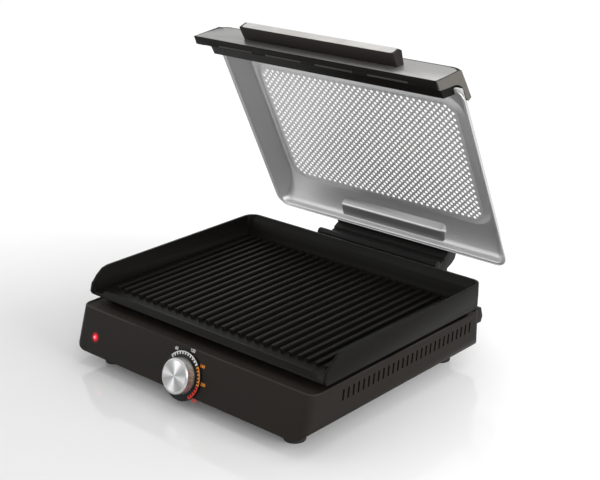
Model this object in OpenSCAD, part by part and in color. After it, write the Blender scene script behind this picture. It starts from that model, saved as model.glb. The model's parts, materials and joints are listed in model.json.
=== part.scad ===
// Electric indoor grill: ribbed cooking plate on a low base, knob on the
// sloping front, and a perforated steel lid hinged at the back.
// Millimetres. +Z up, X to the right, Y to the back. The origin is on the table,
// under the middle of the whole grill with its lid open. The sizes below are laid
// out from the middle of the base, which stands a little in front of the origin.

/* [Base housing] */
// Width of the base housing
base_width = 400; // [380:2:420]
// Depth of the base housing at its rim
base_depth = 325; // [318:1:332]
// Height of the rim above the table
rim_height = 73.5; // [72.5:0.1:74.5]
// Height of the housing floor above the table
floor_height = 18.5; // [17:0.5:19.5]
// Lean of the front panel, degrees
panel_lean = 17.4; // [15:0.2:18]
// Wall thickness of the mouldings
shell_wall = 2.5; // [2:0.1:3]
// Radius along the lower side edges
lower_side_radius = 20; // [14:1:22]
// Radius of the upright corners
upright_radius = 12; // [8:1:14]
// Height of the bead around the rim
rim_bead_height = 1.5; // [1:0.1:1.8]
// Width of the bead around the rim
rim_bead_width = 3; // [2:0.2:4]

/* [Side vents] */
// Slots in each side wall
vent_count = 28; // [20:1:28]
// Distance from slot to slot
vent_pitch = 9.2; // [7:0.1:9.3]
// Width of a slot
vent_width = 3.2; // [2.6:0.1:4]
// Height of a slot
vent_height = 13.6; // [10:0.2:15]
// Lean of a slot, degrees
vent_lean = 8; // [0:1:10]
// Height of the middle of the slots above the table
vent_level = 56.7; // [55:0.1:57]
// Shift of the row of slots towards the back
vent_shift = 13; // [10:1:14]

/* [Dial and knob] */
// Diameter of the black dial disc
dial_diameter = 62; // [58:1:64]
// Thickness of the dial disc
dial_thickness = 2.4; // [2:0.1:3]
// Height of the knob centre above the table
knob_height = 39; // [38:0.5:41]
// Diameter of the knob
knob_diameter = 44; // [38:1:46]
// Height of the knob above the dial disc
knob_depth = 12.6; // [11:0.2:14]
// Thickness of the metal cap on the knob
cap_thickness = 1.2; // [1:0.1:1.5]
// Diameter of the thermostat shaft
shaft_diameter = 6; // [5:0.2:6.4]
// Distance of the lamp from the left end of the base
lamp_inset = 36; // [32:1:50]
// Diameter of the lamp lens
lamp_diameter = 5; // [4:0.2:6]

/* [Feet] */
// Diameter of a foot pad
foot_diameter = 27; // [24:1:28]
// Distance of the feet from the sides of the base
foot_inset = 42.6; // [42:0.2:50]
// Front feet, distance behind the front of the rim
foot_front_inset = 15.7; // [15:0.1:18]
// Rear feet, distance in front of the back of the rim
foot_back_inset = 27.7; // [27:0.1:34]
// Height of the rubber pad
pad_height = 5; // [4:0.5:6]

/* [Cooking plate] */
// How far the plate overhangs the base at each side
plate_overhang = 3.5; // [3.2:0.1:4]
// Gap between the rim of the base and the underside of the plate
plate_gap = 7; // [7:0.1:7.4]
// Height of the plate walls above its underside
plate_rise = 32.7; // [32:0.1:33]
// Wall thickness of the plate
plate_wall = 3.5; // [3.2:0.1:3.8]
// Flare of each side wall of the plate
plate_flare = 1; // [0.5:0.1:1.5]
// Thickness of the plate floor
plate_floor = 4; // [3.5:0.1:4.3]
// Radius of the rear corners of the plate
plate_corner = 16; // [12:1:24]
// Height of the front lip above the underside of the plate
lip_rise = 9.3; // [8:0.1:9.5]
// Distance from rib to rib
rib_pitch = 13.8; // [12.6:0.1:14]
// Ribs on each side of the middle rib
rib_side_count = 13; // [10:1:13]
// Width of a rib
rib_width = 5; // [4:0.2:6]
// Height of a rib
rib_height = 4.5; // [3:0.1:4.8]

/* [Lid] */
// Angle the lid stands open, degrees
lid_angle = 65.2; // [0:0.2:88]
// Length of the lid pan, rear to front
lid_length = 285; // [284:0.5:285.5]
// Depth of the lid pan outside
lid_depth = 27.2; // [26:0.1:28]
// Sheet thickness of the lid pan
sheet = 1.2; // [1:0.1:1.4]
// Narrowing of the pan from rim to top at each side
side_slope_run = 20.5; // [18:0.5:22]
// Radius of the curved rear wall
rear_wall_radius = 81; // [76:1:86]
// Radius of the rear corners
pan_corner_radius = 18; // [14:1:22]
// Depth of the sunk perforated field below the lid top
field_sink = 4.1; // [3:0.1:5]
// Hinge axis behind the rear rim of the closed pan
axis_back = 30; // [29:0.5:31]
// Hinge axis below the rim plane of the closed pan
axis_drop = 47.7; // [47:0.1:48.2]

/* [Perforation] */
// Diameter of a hole
hole_diameter = 4.5; // [4:0.1:5]
// Distance from hole to hole along a row
hole_pitch = 9.6; // [9.4:0.05:9.65]
// Distance from row to row
row_pitch = 4.75; // [4.6:0.05:4.8]
// Rows of holes
row_count = 39; // [31:2:39]
// Holes in the longer rows
holes_per_row = 34; // [28:2:34]

/* [Hinge] */
// Half width of the hinge block
hinge_half_width = 97; // [90:0.5:100]
// Shift of the hinge block to the right of the middle
hinge_shift = 6; // [0:0.5:8]
// Half width of the bar under the hinge block
bar_half_width = 104; // [100:0.5:108]
// Width of a hinge arm
arm_width = 12.5; // [10:0.5:14]
// Radius of the arm barrel and the ears
barrel_radius = 9; // [8:0.2:9.4]
// Diameter of the hinge pins
pin_diameter = 6; // [5:0.2:7]
// Width of a hinge ear
ear_width = 7; // [5:0.5:9]
// Running clearance on the radius of a turning fit
fit_clearance = 0.08; // [0.04:0.01:0.1]
// Gap at each side of a turning piece
side_gap = 0.4; // [0.3:0.05:0.6]

/* [Front trim and handle] */
// Thickness of an end cap
end_cap_width = 13; // [11:0.5:15]
// Half width of the raised crown
crown_half_width = 181; // [174:1:184]
// Half width of the handle bar
handle_half_width = 126; // [118:1:132]
// Half width of the light strip on the handle
strip_half_width = 123; // [110:1:123]
// Height of the light strip
strip_height = 12; // [10:0.2:12.4]
// Thickness of the light strip
strip_thickness = 1.2; // [0.8:0.1:1.6]
// Margin round the brushed plate
inset_margin = 3; // [2:0.5:5]
// Thickness of the brushed plate
inset_thickness = 1; // [0.8:0.1:1.4]
// Length of a rest strip under the trim
rest_length = 60; // [40:1:66]
// Width of a rest strip
rest_width = 2.6; // [2:0.1:3]
// Distance from rest strip to rest strip
rest_pitch = 83.5; // [72:0.5:88]

/* [Heater] */
// Diameter of the heating tube
tube_diameter = 6.6; // [6:0.1:7]
// Gap between the tube and the underside of the plate
tube_gap = 1.8; // [1.2:0.1:1.8]
// Bend radius of the tube
tube_bend = 20; // [16:1:22]
// Height of the tray floor above the table
tray_floor = 45; // [42:1:48]
// Thickness of the tray sheet
tray_sheet = 0.8; // [0.6:0.1:1]

/* [Wiring] */
// Diameter of a wire
wire_diameter = 3.2; // [2.4:0.2:3.6]
// Bore of the cord gland
gland_bore = 8; // [7:0.2:9]
// Cord gland, distance to the right of the middle
gland_x = 70; // [60:1:80]
// Height of the cord gland above the table
gland_z = 42; // [40:0.5:43]

/* [Hidden] */
$fn = 48;
fine = 96;
eps = 0.5;
base_shift = -24.3;
half_w = base_width / 2;
half_d = base_depth / 2;
deck = rim_height - rim_bead_height;
lean_tan = tan(panel_lean);
bottom_back_radius = 16;

// Screws and their bores.
screw_diameter = 4;
screw_head = 7;
screw_head_height = 1.6;
screw_grip = 4;

// Panel frame: origin on the panel under the knob.
knob_y = -half_d - (rim_height - knob_height) * lean_tan;
panel_axis_tilt = 90 - panel_lean;
lamp_x = -half_w + lamp_inset;
lamp_rise = 1;
lamp_proud = 0.6;
lamp_dome = 0.9;
holder_length = 14;
holder_wall = 2;
holder_flange = 3;
lamp_wire_depth = 9;

// Feet.
foot_x = half_w - foot_inset;
foot_front = half_d - foot_front_inset;
foot_back = half_d - foot_back_inset;
foot_top_diameter = foot_diameter + 3;
foot_counterbore = 9;
foot_web = 5;
pad_plug = 3;

// Knob.
knob_base = dial_thickness + side_gap;
knob_face = knob_base + knob_depth;
knob_skirt = 3;
knob_chamfer = 2;
cap_inset = 3;
shaft_cover = 4;
pointer_length = 12;
pointer_width = 2.4;
pointer_depth = 0.5;
pointer_angle = -18;

// Plate.
plate_half = half_w + plate_overhang;
plate_back = half_d - 2.5;
plate_underside = rim_height + plate_gap;
plate_top = plate_underside + plate_rise;
plate_inner_half = plate_half - plate_wall;
plate_floor_top = plate_underside + plate_floor;
lip_top = plate_underside + lip_rise;
lip_front = half_d - 18.5;
lip_half = plate_inner_half - plate_flare;
lip_shoulder = 16;
lip_shoulder_run = 7;
lip_depth = 9;
rib_front = -lip_front + 28;
rib_back = plate_back - 24;

// Lid, closed: rear rim just inside the back wall of the plate.
lid_clearance = 0.8;
rear_rim_y = plate_back - 3;
rim_plane = plate_top + lid_clearance;
axis_y = rear_rim_y + axis_back;
axis_z = rim_plane - axis_drop;
pan_half = half_w + 1;
pan_edge = 2;
pan_front_run = 14;
rear_centre_v = 53;
field_margin = 6.2;
field_end_margin = 5;
field_half = (holes_per_row - 1) / 2 * hole_pitch + field_margin;
field_rear = 50;
field_front = field_rear + (row_count - 1) * row_pitch + 2 * field_end_margin;
field_radius = 20;
field_level = lid_depth - field_sink;

// Trim section.
trim_half = half_w - 0.8;
cap_inner = trim_half - end_cap_width;
cap_wall = 3;
trim_rise = 0.8;
tip_v = lid_length + 36.7;
tip_w = -35.1;
face_run = 16.4;
face_rise = 45.8;
face_lean = atan(face_run / face_rise);
inset_foot = 1.2;
inset_proud = 0.2;
arch_depth = 10;
under_lean = 5;
crown_low = 20;
crown_height = 56;
crown_bend_half = crown_half_width + 9;
crown_bend_height = 53.5;
shoulder_height = 48.5;
rest_thickness = 1.6;
rest_setback = 9;

// Handle.
handle_screw_x = 80;
handle_screw_rise = 27.5;
strip_v = 11.9;
strip_w = 26.3;
strip_tilt = 84;
strip_corner = 4;
strip_proud = 0.3;

// Hinge.
arm_inner = hinge_half_width - arm_width;
bar_v = -5.7;
bar_w = -24.7;
bar_radius = 6;
bulge_half = hinge_half_width - 7;
block_screw_pitch = 60;
block_screw_lean = -38;
pin_head = 10;
pin_head_height = 2;
pin_tail = 1.5;
rail_end = 8;
rail_wall = 2.5;
rail_depth = 22;

// Heater well.
well_half = half_w - 32;
well_front = -half_d + 44;
well_back = half_d - 24;
tray_gap = 1;
tray_flange = 5;
tube_height = plate_underside - tube_gap - tube_diameter / 2;
tube_end = half_d - 15;
loop_half = well_half - 23;
loop_front = well_front + 33;
loop_back = well_back - 39;
tail_x = 20;
mid_x = 45;
mid_back = 45;
clip_height = tube_height + tube_diameter / 2 + 1;
clip_length = 14;
clip_thickness = 5;
support_width = 16;
support_length = 28;
support_wall = 3;
support_inset = 16;
support_run = 10;

// Terminals.
terminal_half = 32;
terminal_height = 18;
tab_width = 6;
tab_sheet = 0.8;
tab_stub = 3;
tab_pin = 3.6;
tab_foot = tube_height - 9.4;
tab_slot_clearance = 1;
tab_slot_start = 1.5;
tab_slot_depth = 4;
gland_wall = 2;
gland_rim = 1;
cutout_x = 60;
cutout_y = 20;
cutout_diameter = 16;
cutout_height = 8;
cutout_strap = 28;

// Bottom.
cover_half = 140;
cover_front = -132;
cover_back = 118;
cover_sheet = 2;
cover_radius = 6;
cover_screw_inset = 4;
cover_screw_run = 40;
cover_slot_pitch = 18;
cover_slot_width = 4;
cover_slot_length = 90;
cover_slot_front = -60;
hatch_margin = 8;

// Thermostat.
bracket_sheet = 1.6;
bracket_half = 26;
bracket_height = 24;
bracket_low = -11;
body_size = 34;
body_height = 26;
body_low = -9.5;
body_depth = 22;
shaft_start = -shell_wall - bracket_sheet - 8;

// Mains terminal block and wires.
block_front = 84;
block_back = 106;
block_half = 32;
block_top = 38;
block_base = 10;
block_pitch = 16;
block_post = 12;
wire_z = 31;
wire_bend = 8;
wire_spread = 8;
wire_offset = 4;
wire_rise_y = tube_end + tab_stub + 0.4;
thermostat_back = -half_d + 25;

// ---- helpers ----
// Moves a node from the middle of the base to its place from the origin.
module placed() {
  translate([0, base_shift, 0]) children();
}

module along_x(x0, x1) {
  translate([x0, 0, 0]) rotate([90, 0, 90]) linear_extrude(x1 - x0) children();
}

module along_y(y0, y1) {
  translate([0, y1, 0]) rotate([90, 0, 0]) linear_extrude(y1 - y0) children();
}

module round_rect(x0, x1, y0, y1, r) {
  translate([x0 + r, y0]) square([x1 - x0 - 2 * r, y1 - y0]);
  translate([x0, y0 + r]) square([x1 - x0, y1 - y0 - 2 * r]);
  for (x = [x0 + r, x1 - r], y = [y0 + r, y1 - r])
    translate([x, y]) circle(r);
}

module rod_x(x0, x1, d) {
  translate([x0, 0, 0]) rotate([0, 90, 0]) cylinder(h = x1 - x0, d = d);
}

module rod_y(y0, y1, d) {
  translate([0, y0, 0]) rotate([-90, 0, 0]) cylinder(h = y1 - y0, d = d);
}

module both_sides() {
  children();
  mirror([1, 0, 0]) children();
}

// Local Z out of the sloping panel, local Y up the slope.
module panel_frame() {
  translate([0, knob_y, knob_height]) rotate([panel_axis_tilt, 0, 0]) children();
}

// Lid frame: Y runs from the rear rim to the front, Z is up when closed.
module lid_frame() {
  translate([0, axis_y, axis_z]) rotate([lid_angle, 0, 180])
    translate([0, axis_back, axis_drop]) children();
}

// ---- base ----
module base_side_view(g) {
  front_top = -half_d + g / cos(panel_lean) - g * lean_tan;
  low = floor_height + g;
  front_low = -half_d + g / cos(panel_lean) - (rim_height - low) * lean_tan;
  r = bottom_back_radius - g;
  difference() {
    polygon([[front_top, rim_height - g], [half_d - g, rim_height - g],
      [half_d - g, low], [front_low, low]]);
    translate([half_d - g - r, low]) difference() {
      translate([0, -1]) square([r + 1, r + 1]);
      translate([0, r]) circle(r);
    }
  }
}

module base_block(g) {
  r = upright_radius - g;
  intersection() {
    along_x(-half_w + g, half_w - g) base_side_view(g);
    along_y(-base_depth, base_depth)
      round_rect(-half_w + g, half_w - g, floor_height + g, 2 * rim_height, lower_side_radius - g);
    linear_extrude(rim_height)
      round_rect(-half_w + g, half_w - g, -2 * base_depth, half_d - g, r);
    translate([0, -half_d, rim_height]) rotate([-panel_lean, 0, 0])
      translate([0, g, -2 * rim_height]) linear_extrude(6 * rim_height)
        round_rect(-half_w + g, half_w - g, 0, 2 * base_depth, r);
  }
}

module side_vents() {
  for (i = [0:vent_count - 1])
    translate([half_w - shell_wall / 2, (i - (vent_count - 1) / 2) * vent_pitch + vent_shift,
      vent_level])
      rotate([-vent_lean, 0, 0])
        cube([3 * shell_wall, vent_width, vent_height], center = true);
}

module base_housing() color([0.17, 0.16, 0.15]) placed() {
  difference() {
    base_block(0);
    difference() {
      base_block(shell_wall);
      translate([-half_w, -base_depth, deck - shell_wall])
        cube([base_width, 2 * base_depth, rim_height]);
    }
    translate([0, 0, deck]) linear_extrude(rim_bead_height + 1)
      round_rect(-half_w + rim_bead_width, half_w - rim_bead_width, -half_d + rim_bead_width,
        half_d - rim_bead_width, upright_radius - rim_bead_width);
    translate([-well_half, well_front, deck - 2 * shell_wall])
      cube([2 * well_half, well_back - well_front, 4 * shell_wall]);
    translate([-cover_half + hatch_margin, cover_front + hatch_margin, floor_height - 1])
      cube([2 * (cover_half - hatch_margin), cover_back - cover_front - 2 * hatch_margin,
        shell_wall + 2]);
    both_sides() side_vents();
    panel_frame() {
      translate([0, 0, -2 * shell_wall]) cylinder(h = 4 * shell_wall, d = shaft_diameter + 1);
      translate([lamp_x, lamp_rise, -2 * shell_wall])
        cylinder(h = 4 * shell_wall, d = lamp_diameter);
    }
    translate([gland_x, 0, gland_z])
      rod_y(half_d - 2 * shell_wall, half_d + 1, gland_bore + 2 * gland_wall);
    both_sides()
      translate([tail_x - tab_width / 2 - tab_slot_clearance, tube_end + tab_slot_start,
        deck - 2 * shell_wall])
        cube([tab_width + 2 * tab_slot_clearance, tab_slot_depth, 4 * shell_wall]);
    both_sides() translate([tail_x, 0, tube_height])
      rod_y(well_back - 1, tube_end + 1, tube_diameter + 2 * side_gap);
    foot_places() screw_bore(2 * shell_wall);
    cover_screw_places() screw_bore(2 * shell_wall);
  }
}

module foot_places() {
  for (x = [-foot_x, foot_x], y = [-foot_front, foot_back])
    translate([x, y, floor_height]) children();
}

module cover_screw_places() {
  x = cover_half - cover_screw_inset;
  for (side = [-x, x], y = [cover_front + cover_screw_run, cover_back - cover_screw_run])
    translate([side, y, floor_height]) children();
}

module screw_bore(h) {
  translate([0, 0, -1]) cylinder(h = h, d = screw_diameter);
}

module bottom_cover() color([0.2, 0.19, 0.18]) placed() {
  difference() {
    translate([0, 0, floor_height - cover_sheet]) linear_extrude(cover_sheet)
      round_rect(-cover_half, cover_half, cover_front, cover_back, cover_radius);
    cover_screw_places() translate([0, 0, -cover_sheet]) screw_bore(2 * cover_sheet);
    for (i = [-6:6])
      translate([i * cover_slot_pitch - cover_slot_width / 2, cover_slot_front,
        floor_height - 2 * cover_sheet])
        cube([cover_slot_width, cover_slot_length, 3 * cover_sheet]);
  }
}

module screw(head_d, head_h, length) {
  translate([0, 0, -head_h]) cylinder(h = head_h, d = head_d);
  cylinder(h = length, d = screw_diameter);
}

module cover_screws() color("silver") placed()
  cover_screw_places() translate([0, 0, -cover_sheet])
    screw(screw_head, screw_head_height, cover_sheet + shell_wall + screw_grip - eps);

module feet() color([0.14, 0.13, 0.13]) placed()
  foot_places() translate([0, 0, -floor_height + pad_height]) difference() {
    cylinder(h = floor_height - pad_height, d1 = foot_diameter, d2 = foot_top_diameter);
    translate([0, 0, -1]) cylinder(h = floor_height, d = screw_diameter);
    translate([0, 0, -1])
      cylinder(h = floor_height - pad_height - foot_web + 1, d = foot_counterbore);
  }

module foot_pads() color([0.08, 0.08, 0.08]) placed()
  foot_places() translate([0, 0, -floor_height]) {
    cylinder(h = pad_height, d = foot_diameter);
    translate([0, 0, pad_height])
      cylinder(h = pad_plug, d = foot_counterbore - 2 * fit_clearance);
  }

module foot_screws() color("silver") placed()
  foot_places() translate([0, 0, -foot_web])
    screw(screw_head + 1, 1.5 * screw_head_height, foot_web + shell_wall + screw_grip);

module plate_supports() color([0.3, 0.3, 0.3]) placed()
  for (x = [-half_w + support_inset, half_w - support_inset],
      y = [well_front + support_run, well_back - support_run])
    translate([x, y, deck]) difference() {
      translate([-support_width / 2, -support_length / 2, 0])
        cube([support_width, support_length, plate_underside - deck]);
      translate([support_wall - support_width / 2, support_wall - support_length / 2, -1])
        cube([support_width - 2 * support_wall, support_length - 2 * support_wall,
          plate_underside - deck + 1 - shell_wall]);
    }

// ---- rear rail and pins ----
module hinge_rail_view() {
  polygon([[half_d, deck], [half_d + 11.5, deck - 1.5], [half_d + 13.5, deck - 8],
    [half_d + 15.5, deck - 15], [half_d + 12, deck - rail_depth], [half_d, deck - rail_depth]]);
}

module rail_hollow_view() {
  polygon([[half_d - 1, deck - rail_wall], [half_d + 9, deck - 3.6], [half_d + 10.9, deck - 8.4],
    [half_d + 12.7, deck - 14.6], [half_d + 10.3, deck - rail_depth + rail_wall],
    [half_d - 1, deck - rail_depth + rail_wall]]);
}

module ear_view() {
  polygon([[half_d + 9.5, deck - 1.5], [axis_y, axis_z + barrel_radius],
    [axis_y, axis_z - barrel_radius], [half_d + 12.1, deck - rail_depth + 1.5]]);
  translate([axis_y, axis_z]) circle(barrel_radius);
}

module hinge_rail() color([0.16, 0.15, 0.14]) placed() difference() {
  union() {
    along_x(-half_w + rail_end, half_w - rail_end) hinge_rail_view();
    translate([hinge_shift, 0, 0]) both_sides() {
      along_x(hinge_half_width + side_gap, hinge_half_width + side_gap + ear_width) ear_view();
      along_x(arm_inner - side_gap - ear_width, arm_inner - side_gap) ear_view();
    }
  }
  along_x(-half_w + rail_end + rail_wall, half_w - rail_end - rail_wall) rail_hollow_view();
  translate([0, axis_y, axis_z]) rod_x(-half_w, half_w, pin_diameter);
}

module hinge_pins() color("silver") placed() translate([hinge_shift, 0, 0]) both_sides()
  translate([0, axis_y, axis_z]) {
    ear_end = hinge_half_width + side_gap + ear_width;
    rod_x(arm_inner - side_gap - ear_width - pin_tail, ear_end, pin_diameter);
    rod_x(ear_end, ear_end + pin_head_height, pin_head);
  }

// ---- front panel pieces ----
module dial_disc() color([0.05, 0.05, 0.05]) placed() panel_frame() difference() {
  cylinder(h = dial_thickness, d = dial_diameter, $fn = fine);
  translate([0, 0, -1]) cylinder(h = 3 * dial_thickness, d = shaft_diameter + 1);
}

module knob_body() color([0.62, 0.62, 0.63]) placed() panel_frame() difference() {
  union() {
    translate([0, 0, knob_base])
      cylinder(h = knob_skirt, d1 = knob_diameter + 1, d2 = knob_diameter, $fn = fine);
    translate([0, 0, knob_base + knob_skirt])
      cylinder(h = knob_depth - knob_skirt - knob_chamfer, d = knob_diameter, $fn = fine);
    translate([0, 0, knob_face - knob_chamfer])
      cylinder(h = knob_chamfer, d1 = knob_diameter, d2 = knob_diameter - 2 * knob_chamfer,
        $fn = fine);
  }
  translate([0, 0, knob_face - cap_thickness])
    cylinder(h = 2 * cap_thickness, d = knob_diameter - 2 * cap_inset, $fn = fine);
  translate([0, 0, knob_base - 1]) cylinder(h = knob_depth - shaft_cover + 1, d = shaft_diameter);
}

module knob_cap() color([0.8, 0.8, 0.8]) placed() panel_frame() difference() {
  translate([0, 0, knob_face - cap_thickness])
    cylinder(h = cap_thickness, d = knob_diameter - 2 * cap_inset, $fn = fine);
  rotate([0, 0, pointer_angle])
    translate([knob_diameter / 2 - pointer_length, -pointer_width / 2, knob_face - pointer_depth])
      cube([pointer_length, pointer_width, 2 * pointer_depth]);
}

module thermostat_shaft() color("silver") placed() panel_frame() translate([0, 0, shaft_start])
  cylinder(h = knob_face - shaft_cover - shaft_start, d = shaft_diameter);

module thermostat_bracket() color([0.7, 0.7, 0.68]) placed() panel_frame() difference() {
  translate([-bracket_half, bracket_low, -shell_wall - bracket_sheet])
    cube([2 * bracket_half, bracket_height, bracket_sheet]);
  translate([0, 0, -2 * shell_wall - bracket_sheet])
    cylinder(h = 4 * shell_wall, d = shaft_diameter + 1);
}

module thermostat_body() color([0.85, 0.83, 0.78]) placed() panel_frame() difference() {
  translate([-body_size / 2, body_low, -shell_wall - bracket_sheet - body_depth])
    cube([body_size, body_height, body_depth]);
  translate([0, 0, shaft_start - 0.5])
    cylinder(h = body_depth, d = shaft_diameter + 2 * fit_clearance);
}

module lamp_lens() color([0.75, 0.05, 0.05]) placed() panel_frame() translate([lamp_x, lamp_rise, 0]) {
  translate([0, 0, -shell_wall]) cylinder(h = shell_wall + lamp_proud, d = lamp_diameter);
  translate([0, 0, lamp_proud])
    cylinder(h = lamp_dome, d1 = lamp_diameter, d2 = lamp_diameter - 2 * lamp_dome);
}

module lamp_holder() color([0.9, 0.9, 0.85]) placed() panel_frame()
  translate([lamp_x, lamp_rise, -shell_wall - holder_length]) {
    cylinder(h = holder_length, d = lamp_diameter + 2 * holder_wall);
    translate([0, 0, holder_length - holder_flange])
      cylinder(h = holder_flange, d = lamp_diameter + 4 * holder_wall);
  }

module cord_gland() color([0.08, 0.08, 0.08]) placed() translate([gland_x, 0, gland_z]) difference() {
  inside = half_d - shell_wall;
  flange = gland_bore + 2 * (gland_wall + gland_rim);
  union() {
    rod_y(inside - 2 * gland_wall, half_d + 2 * shell_wall, gland_bore + 2 * gland_wall);
    rod_y(half_d, half_d + shell_wall, flange);
    rod_y(inside - shell_wall, inside, flange);
  }
  rod_y(inside - 4 * shell_wall, half_d + 4 * shell_wall, gland_bore);
}

// ---- heater ----
module reflector_tray() color([0.75, 0.75, 0.75]) placed() difference() {
  union() {
    translate([-well_half + tray_gap, well_front + tray_gap, tray_floor])
      cube([2 * (well_half - tray_gap), well_back - well_front - 2 * tray_gap,
        deck + tray_sheet - tray_floor]);
    translate([-well_half - tray_flange, well_front - tray_flange, deck])
      cube([2 * (well_half + tray_flange), well_back - well_front + 2 * tray_flange, tray_sheet]);
  }
  translate([-well_half + tray_gap + tray_sheet, well_front + tray_gap + tray_sheet,
    tray_floor + tray_sheet])
    cube([2 * (well_half - tray_gap - tray_sheet), well_back - well_front
      - 2 * (tray_gap + tray_sheet), rim_height]);
  for (x = [-tail_x, tail_x])
    translate([x - tube_diameter / 2 - 1, well_back - tray_flange + 1,
      tube_height - tube_diameter / 2 - 1])
      cube([tube_diameter + 2, 2 * tray_flange + 2, 2 * tube_diameter]);
}

module bend(x, y, a) {
  translate([x, y, tube_height]) rotate([0, 0, a])
    rotate_extrude(angle = 90) translate([tube_bend, 0]) circle(d = tube_diameter);
}

module run_x(x0, x1, y) translate([0, y, tube_height]) rod_x(x0, x1, tube_diameter);

module run_y(y0, y1, x) translate([x, 0, tube_height]) rod_y(y0, y1, tube_diameter);

module heating_element() color([0.35, 0.33, 0.32]) placed() {
  both_sides() {
    run_y(loop_back + tube_bend, tube_end, tail_x);
    bend(tail_x + tube_bend, loop_back + tube_bend, 180);
    run_x(tail_x + tube_bend, loop_half - tube_bend, loop_back);
    bend(loop_half - tube_bend, loop_back - tube_bend, 0);
    run_y(loop_front + tube_bend, loop_back - tube_bend, loop_half);
    bend(loop_half - tube_bend, loop_front + tube_bend, 270);
    run_x(mid_x + tube_bend, loop_half - tube_bend, loop_front);
    bend(mid_x + tube_bend, loop_front + tube_bend, 180);
    run_y(loop_front + tube_bend, mid_back - tube_bend, mid_x);
    bend(mid_x - tube_bend, mid_back - tube_bend, 0);
  }
  run_x(-mid_x + tube_bend, mid_x - tube_bend, mid_back);
}

module clip_post() {
  translate([-clip_length / 2, -clip_thickness / 2, tray_floor + tray_sheet])
    cube([clip_length, clip_thickness, clip_height - tray_floor - tray_sheet]);
}

module element_clips() color([0.6, 0.6, 0.6]) placed() difference() {
  union() {
    both_sides() {
      translate([loop_half, 0, 0]) clip_post();
      translate([(loop_half + tail_x) / 2, loop_back, 0]) rotate([0, 0, 90]) clip_post();
      translate([(loop_half + mid_x) / 2, loop_front, 0]) rotate([0, 0, 90]) clip_post();
    }
    translate([0, mid_back, 0]) rotate([0, 0, 90]) clip_post();
  }
  for (x = [-loop_half, loop_half])
    translate([x, 0, tube_height])
      rod_y(-clip_thickness, clip_thickness, tube_diameter + 2 * fit_clearance);
  for (y = [loop_back, loop_front, mid_back])
    translate([0, y, tube_height])
      rod_x(-half_w, half_w, tube_diameter + 2 * fit_clearance);
}

module terminal_plate() color([0.7, 0.7, 0.7]) placed() difference() {
  translate([-terminal_half, well_back - tray_gap - 2 * tray_sheet,
    tube_height + tube_diameter / 2 + eps - terminal_height])
    cube([2 * terminal_half, tray_sheet, terminal_height]);
  for (x = [-tail_x, tail_x])
    translate([x, 0, tube_height])
      rod_y(well_back - tray_flange, well_back + tray_flange, tube_diameter + 2 * fit_clearance);
}

module terminal_tabs() color([0.75, 0.7, 0.55]) placed() both_sides() translate([tail_x, 0, 0]) {
  translate([0, 0, tube_height]) rod_y(tube_end, tube_end + tab_stub, tab_pin);
  translate([-tab_width / 2, tube_end + tab_stub, tab_foot])
    cube([tab_width, tab_sheet, tube_height - tab_foot + tab_width / 2]);
}

module thermal_cutout() color([0.8, 0.78, 0.7]) placed() translate([cutout_x, cutout_y, 0]) {
  translate([0, 0, tray_floor - cutout_height]) cylinder(h = cutout_height, d = cutout_diameter);
  translate([-cutout_strap / 2, -cutout_strap / 6, tray_floor - tray_sheet])
    cube([cutout_strap, cutout_strap / 3, tray_sheet]);
}

// ---- wiring ----
module terminal_block() color([0.9, 0.9, 0.88]) placed() {
  translate([-block_half, block_front, floor_height])
    cube([2 * block_half, block_back - block_front, block_base]);
  for (i = [-1.5, -0.5, 0.5, 1.5])
    translate([i * block_pitch - block_post / 2, block_front, floor_height + block_base])
      cube([block_post, block_back - block_front, block_top - floor_height - block_base]);
}

module wiring() color([0.75, 0.2, 0.15]) placed() {
  panel_frame() translate([0, 2 * lamp_rise, -shell_wall - lamp_wire_depth])
    rod_x(lamp_x + lamp_diameter / 2 + holder_wall + 0.1, -body_size / 2, wire_diameter);
  for (x = [-wire_spread, wire_spread])
    translate([x, 0, wire_z]) rod_y(thermostat_back, block_front, wire_diameter);
  both_sides() translate([tail_x + wire_offset, 0, 0]) {
    translate([0, 0, wire_z]) rod_y(block_back, wire_rise_y - wire_bend, wire_diameter);
    translate([0, wire_rise_y - wire_bend, wire_z + wire_bend]) rotate([0, 90, 0])
      rotate_extrude(angle = 90) translate([wire_bend, 0]) circle(d = wire_diameter);
    translate([0, wire_rise_y, wire_z + wire_bend])
      cylinder(h = tab_foot - wire_z - wire_bend, d = wire_diameter);
  }
}

// ---- cooking plate ----
module plate_side_view() {
  polygon([[-lip_front, plate_underside + 1], [-lip_front - 1.8, plate_underside + 5],
    [-lip_front + 1.2, plate_top - 17.5], [-lip_front + 5.3, plate_top - 13.7],
    [-lip_front + 10.2, plate_top - 8.6], [-lip_front + 19.8, plate_top - 2],
    [-lip_front + 26, plate_top - 0.5], [-lip_front + 32, plate_top], [plate_back, plate_top],
    [plate_back - 2, plate_top - 4], [plate_back - 6, plate_top - 9.2],
    [plate_back - 9.4, plate_top - 20.2], [plate_back - 11.5, plate_underside],
    [-lip_front + 1, plate_underside]]);
}

module plate_front_view(g) {
  foot = plate_half - plate_flare - g;
  polygon([[-foot, plate_underside], [foot, plate_underside], [plate_half - g, plate_top],
    [plate_half - g, plate_top + 2 * g], [-plate_half + g, plate_top + 2 * g],
    [-plate_half + g, plate_top]]);
}

module cavity_side_view() {
  polygon([[-lip_front + 5.8, plate_floor_top], [-lip_front + 6.6, plate_top + 5],
    [plate_back - plate_wall, plate_top + 5], [plate_back - plate_wall, plate_top],
    [plate_back - plate_wall - 2, plate_top - 4], [plate_back - plate_wall - 6, plate_top - 9.2],
    [plate_back - plate_wall - 9.2, plate_top - 20.2],
    [plate_back - plate_wall - 11, plate_floor_top]]);
}

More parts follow.
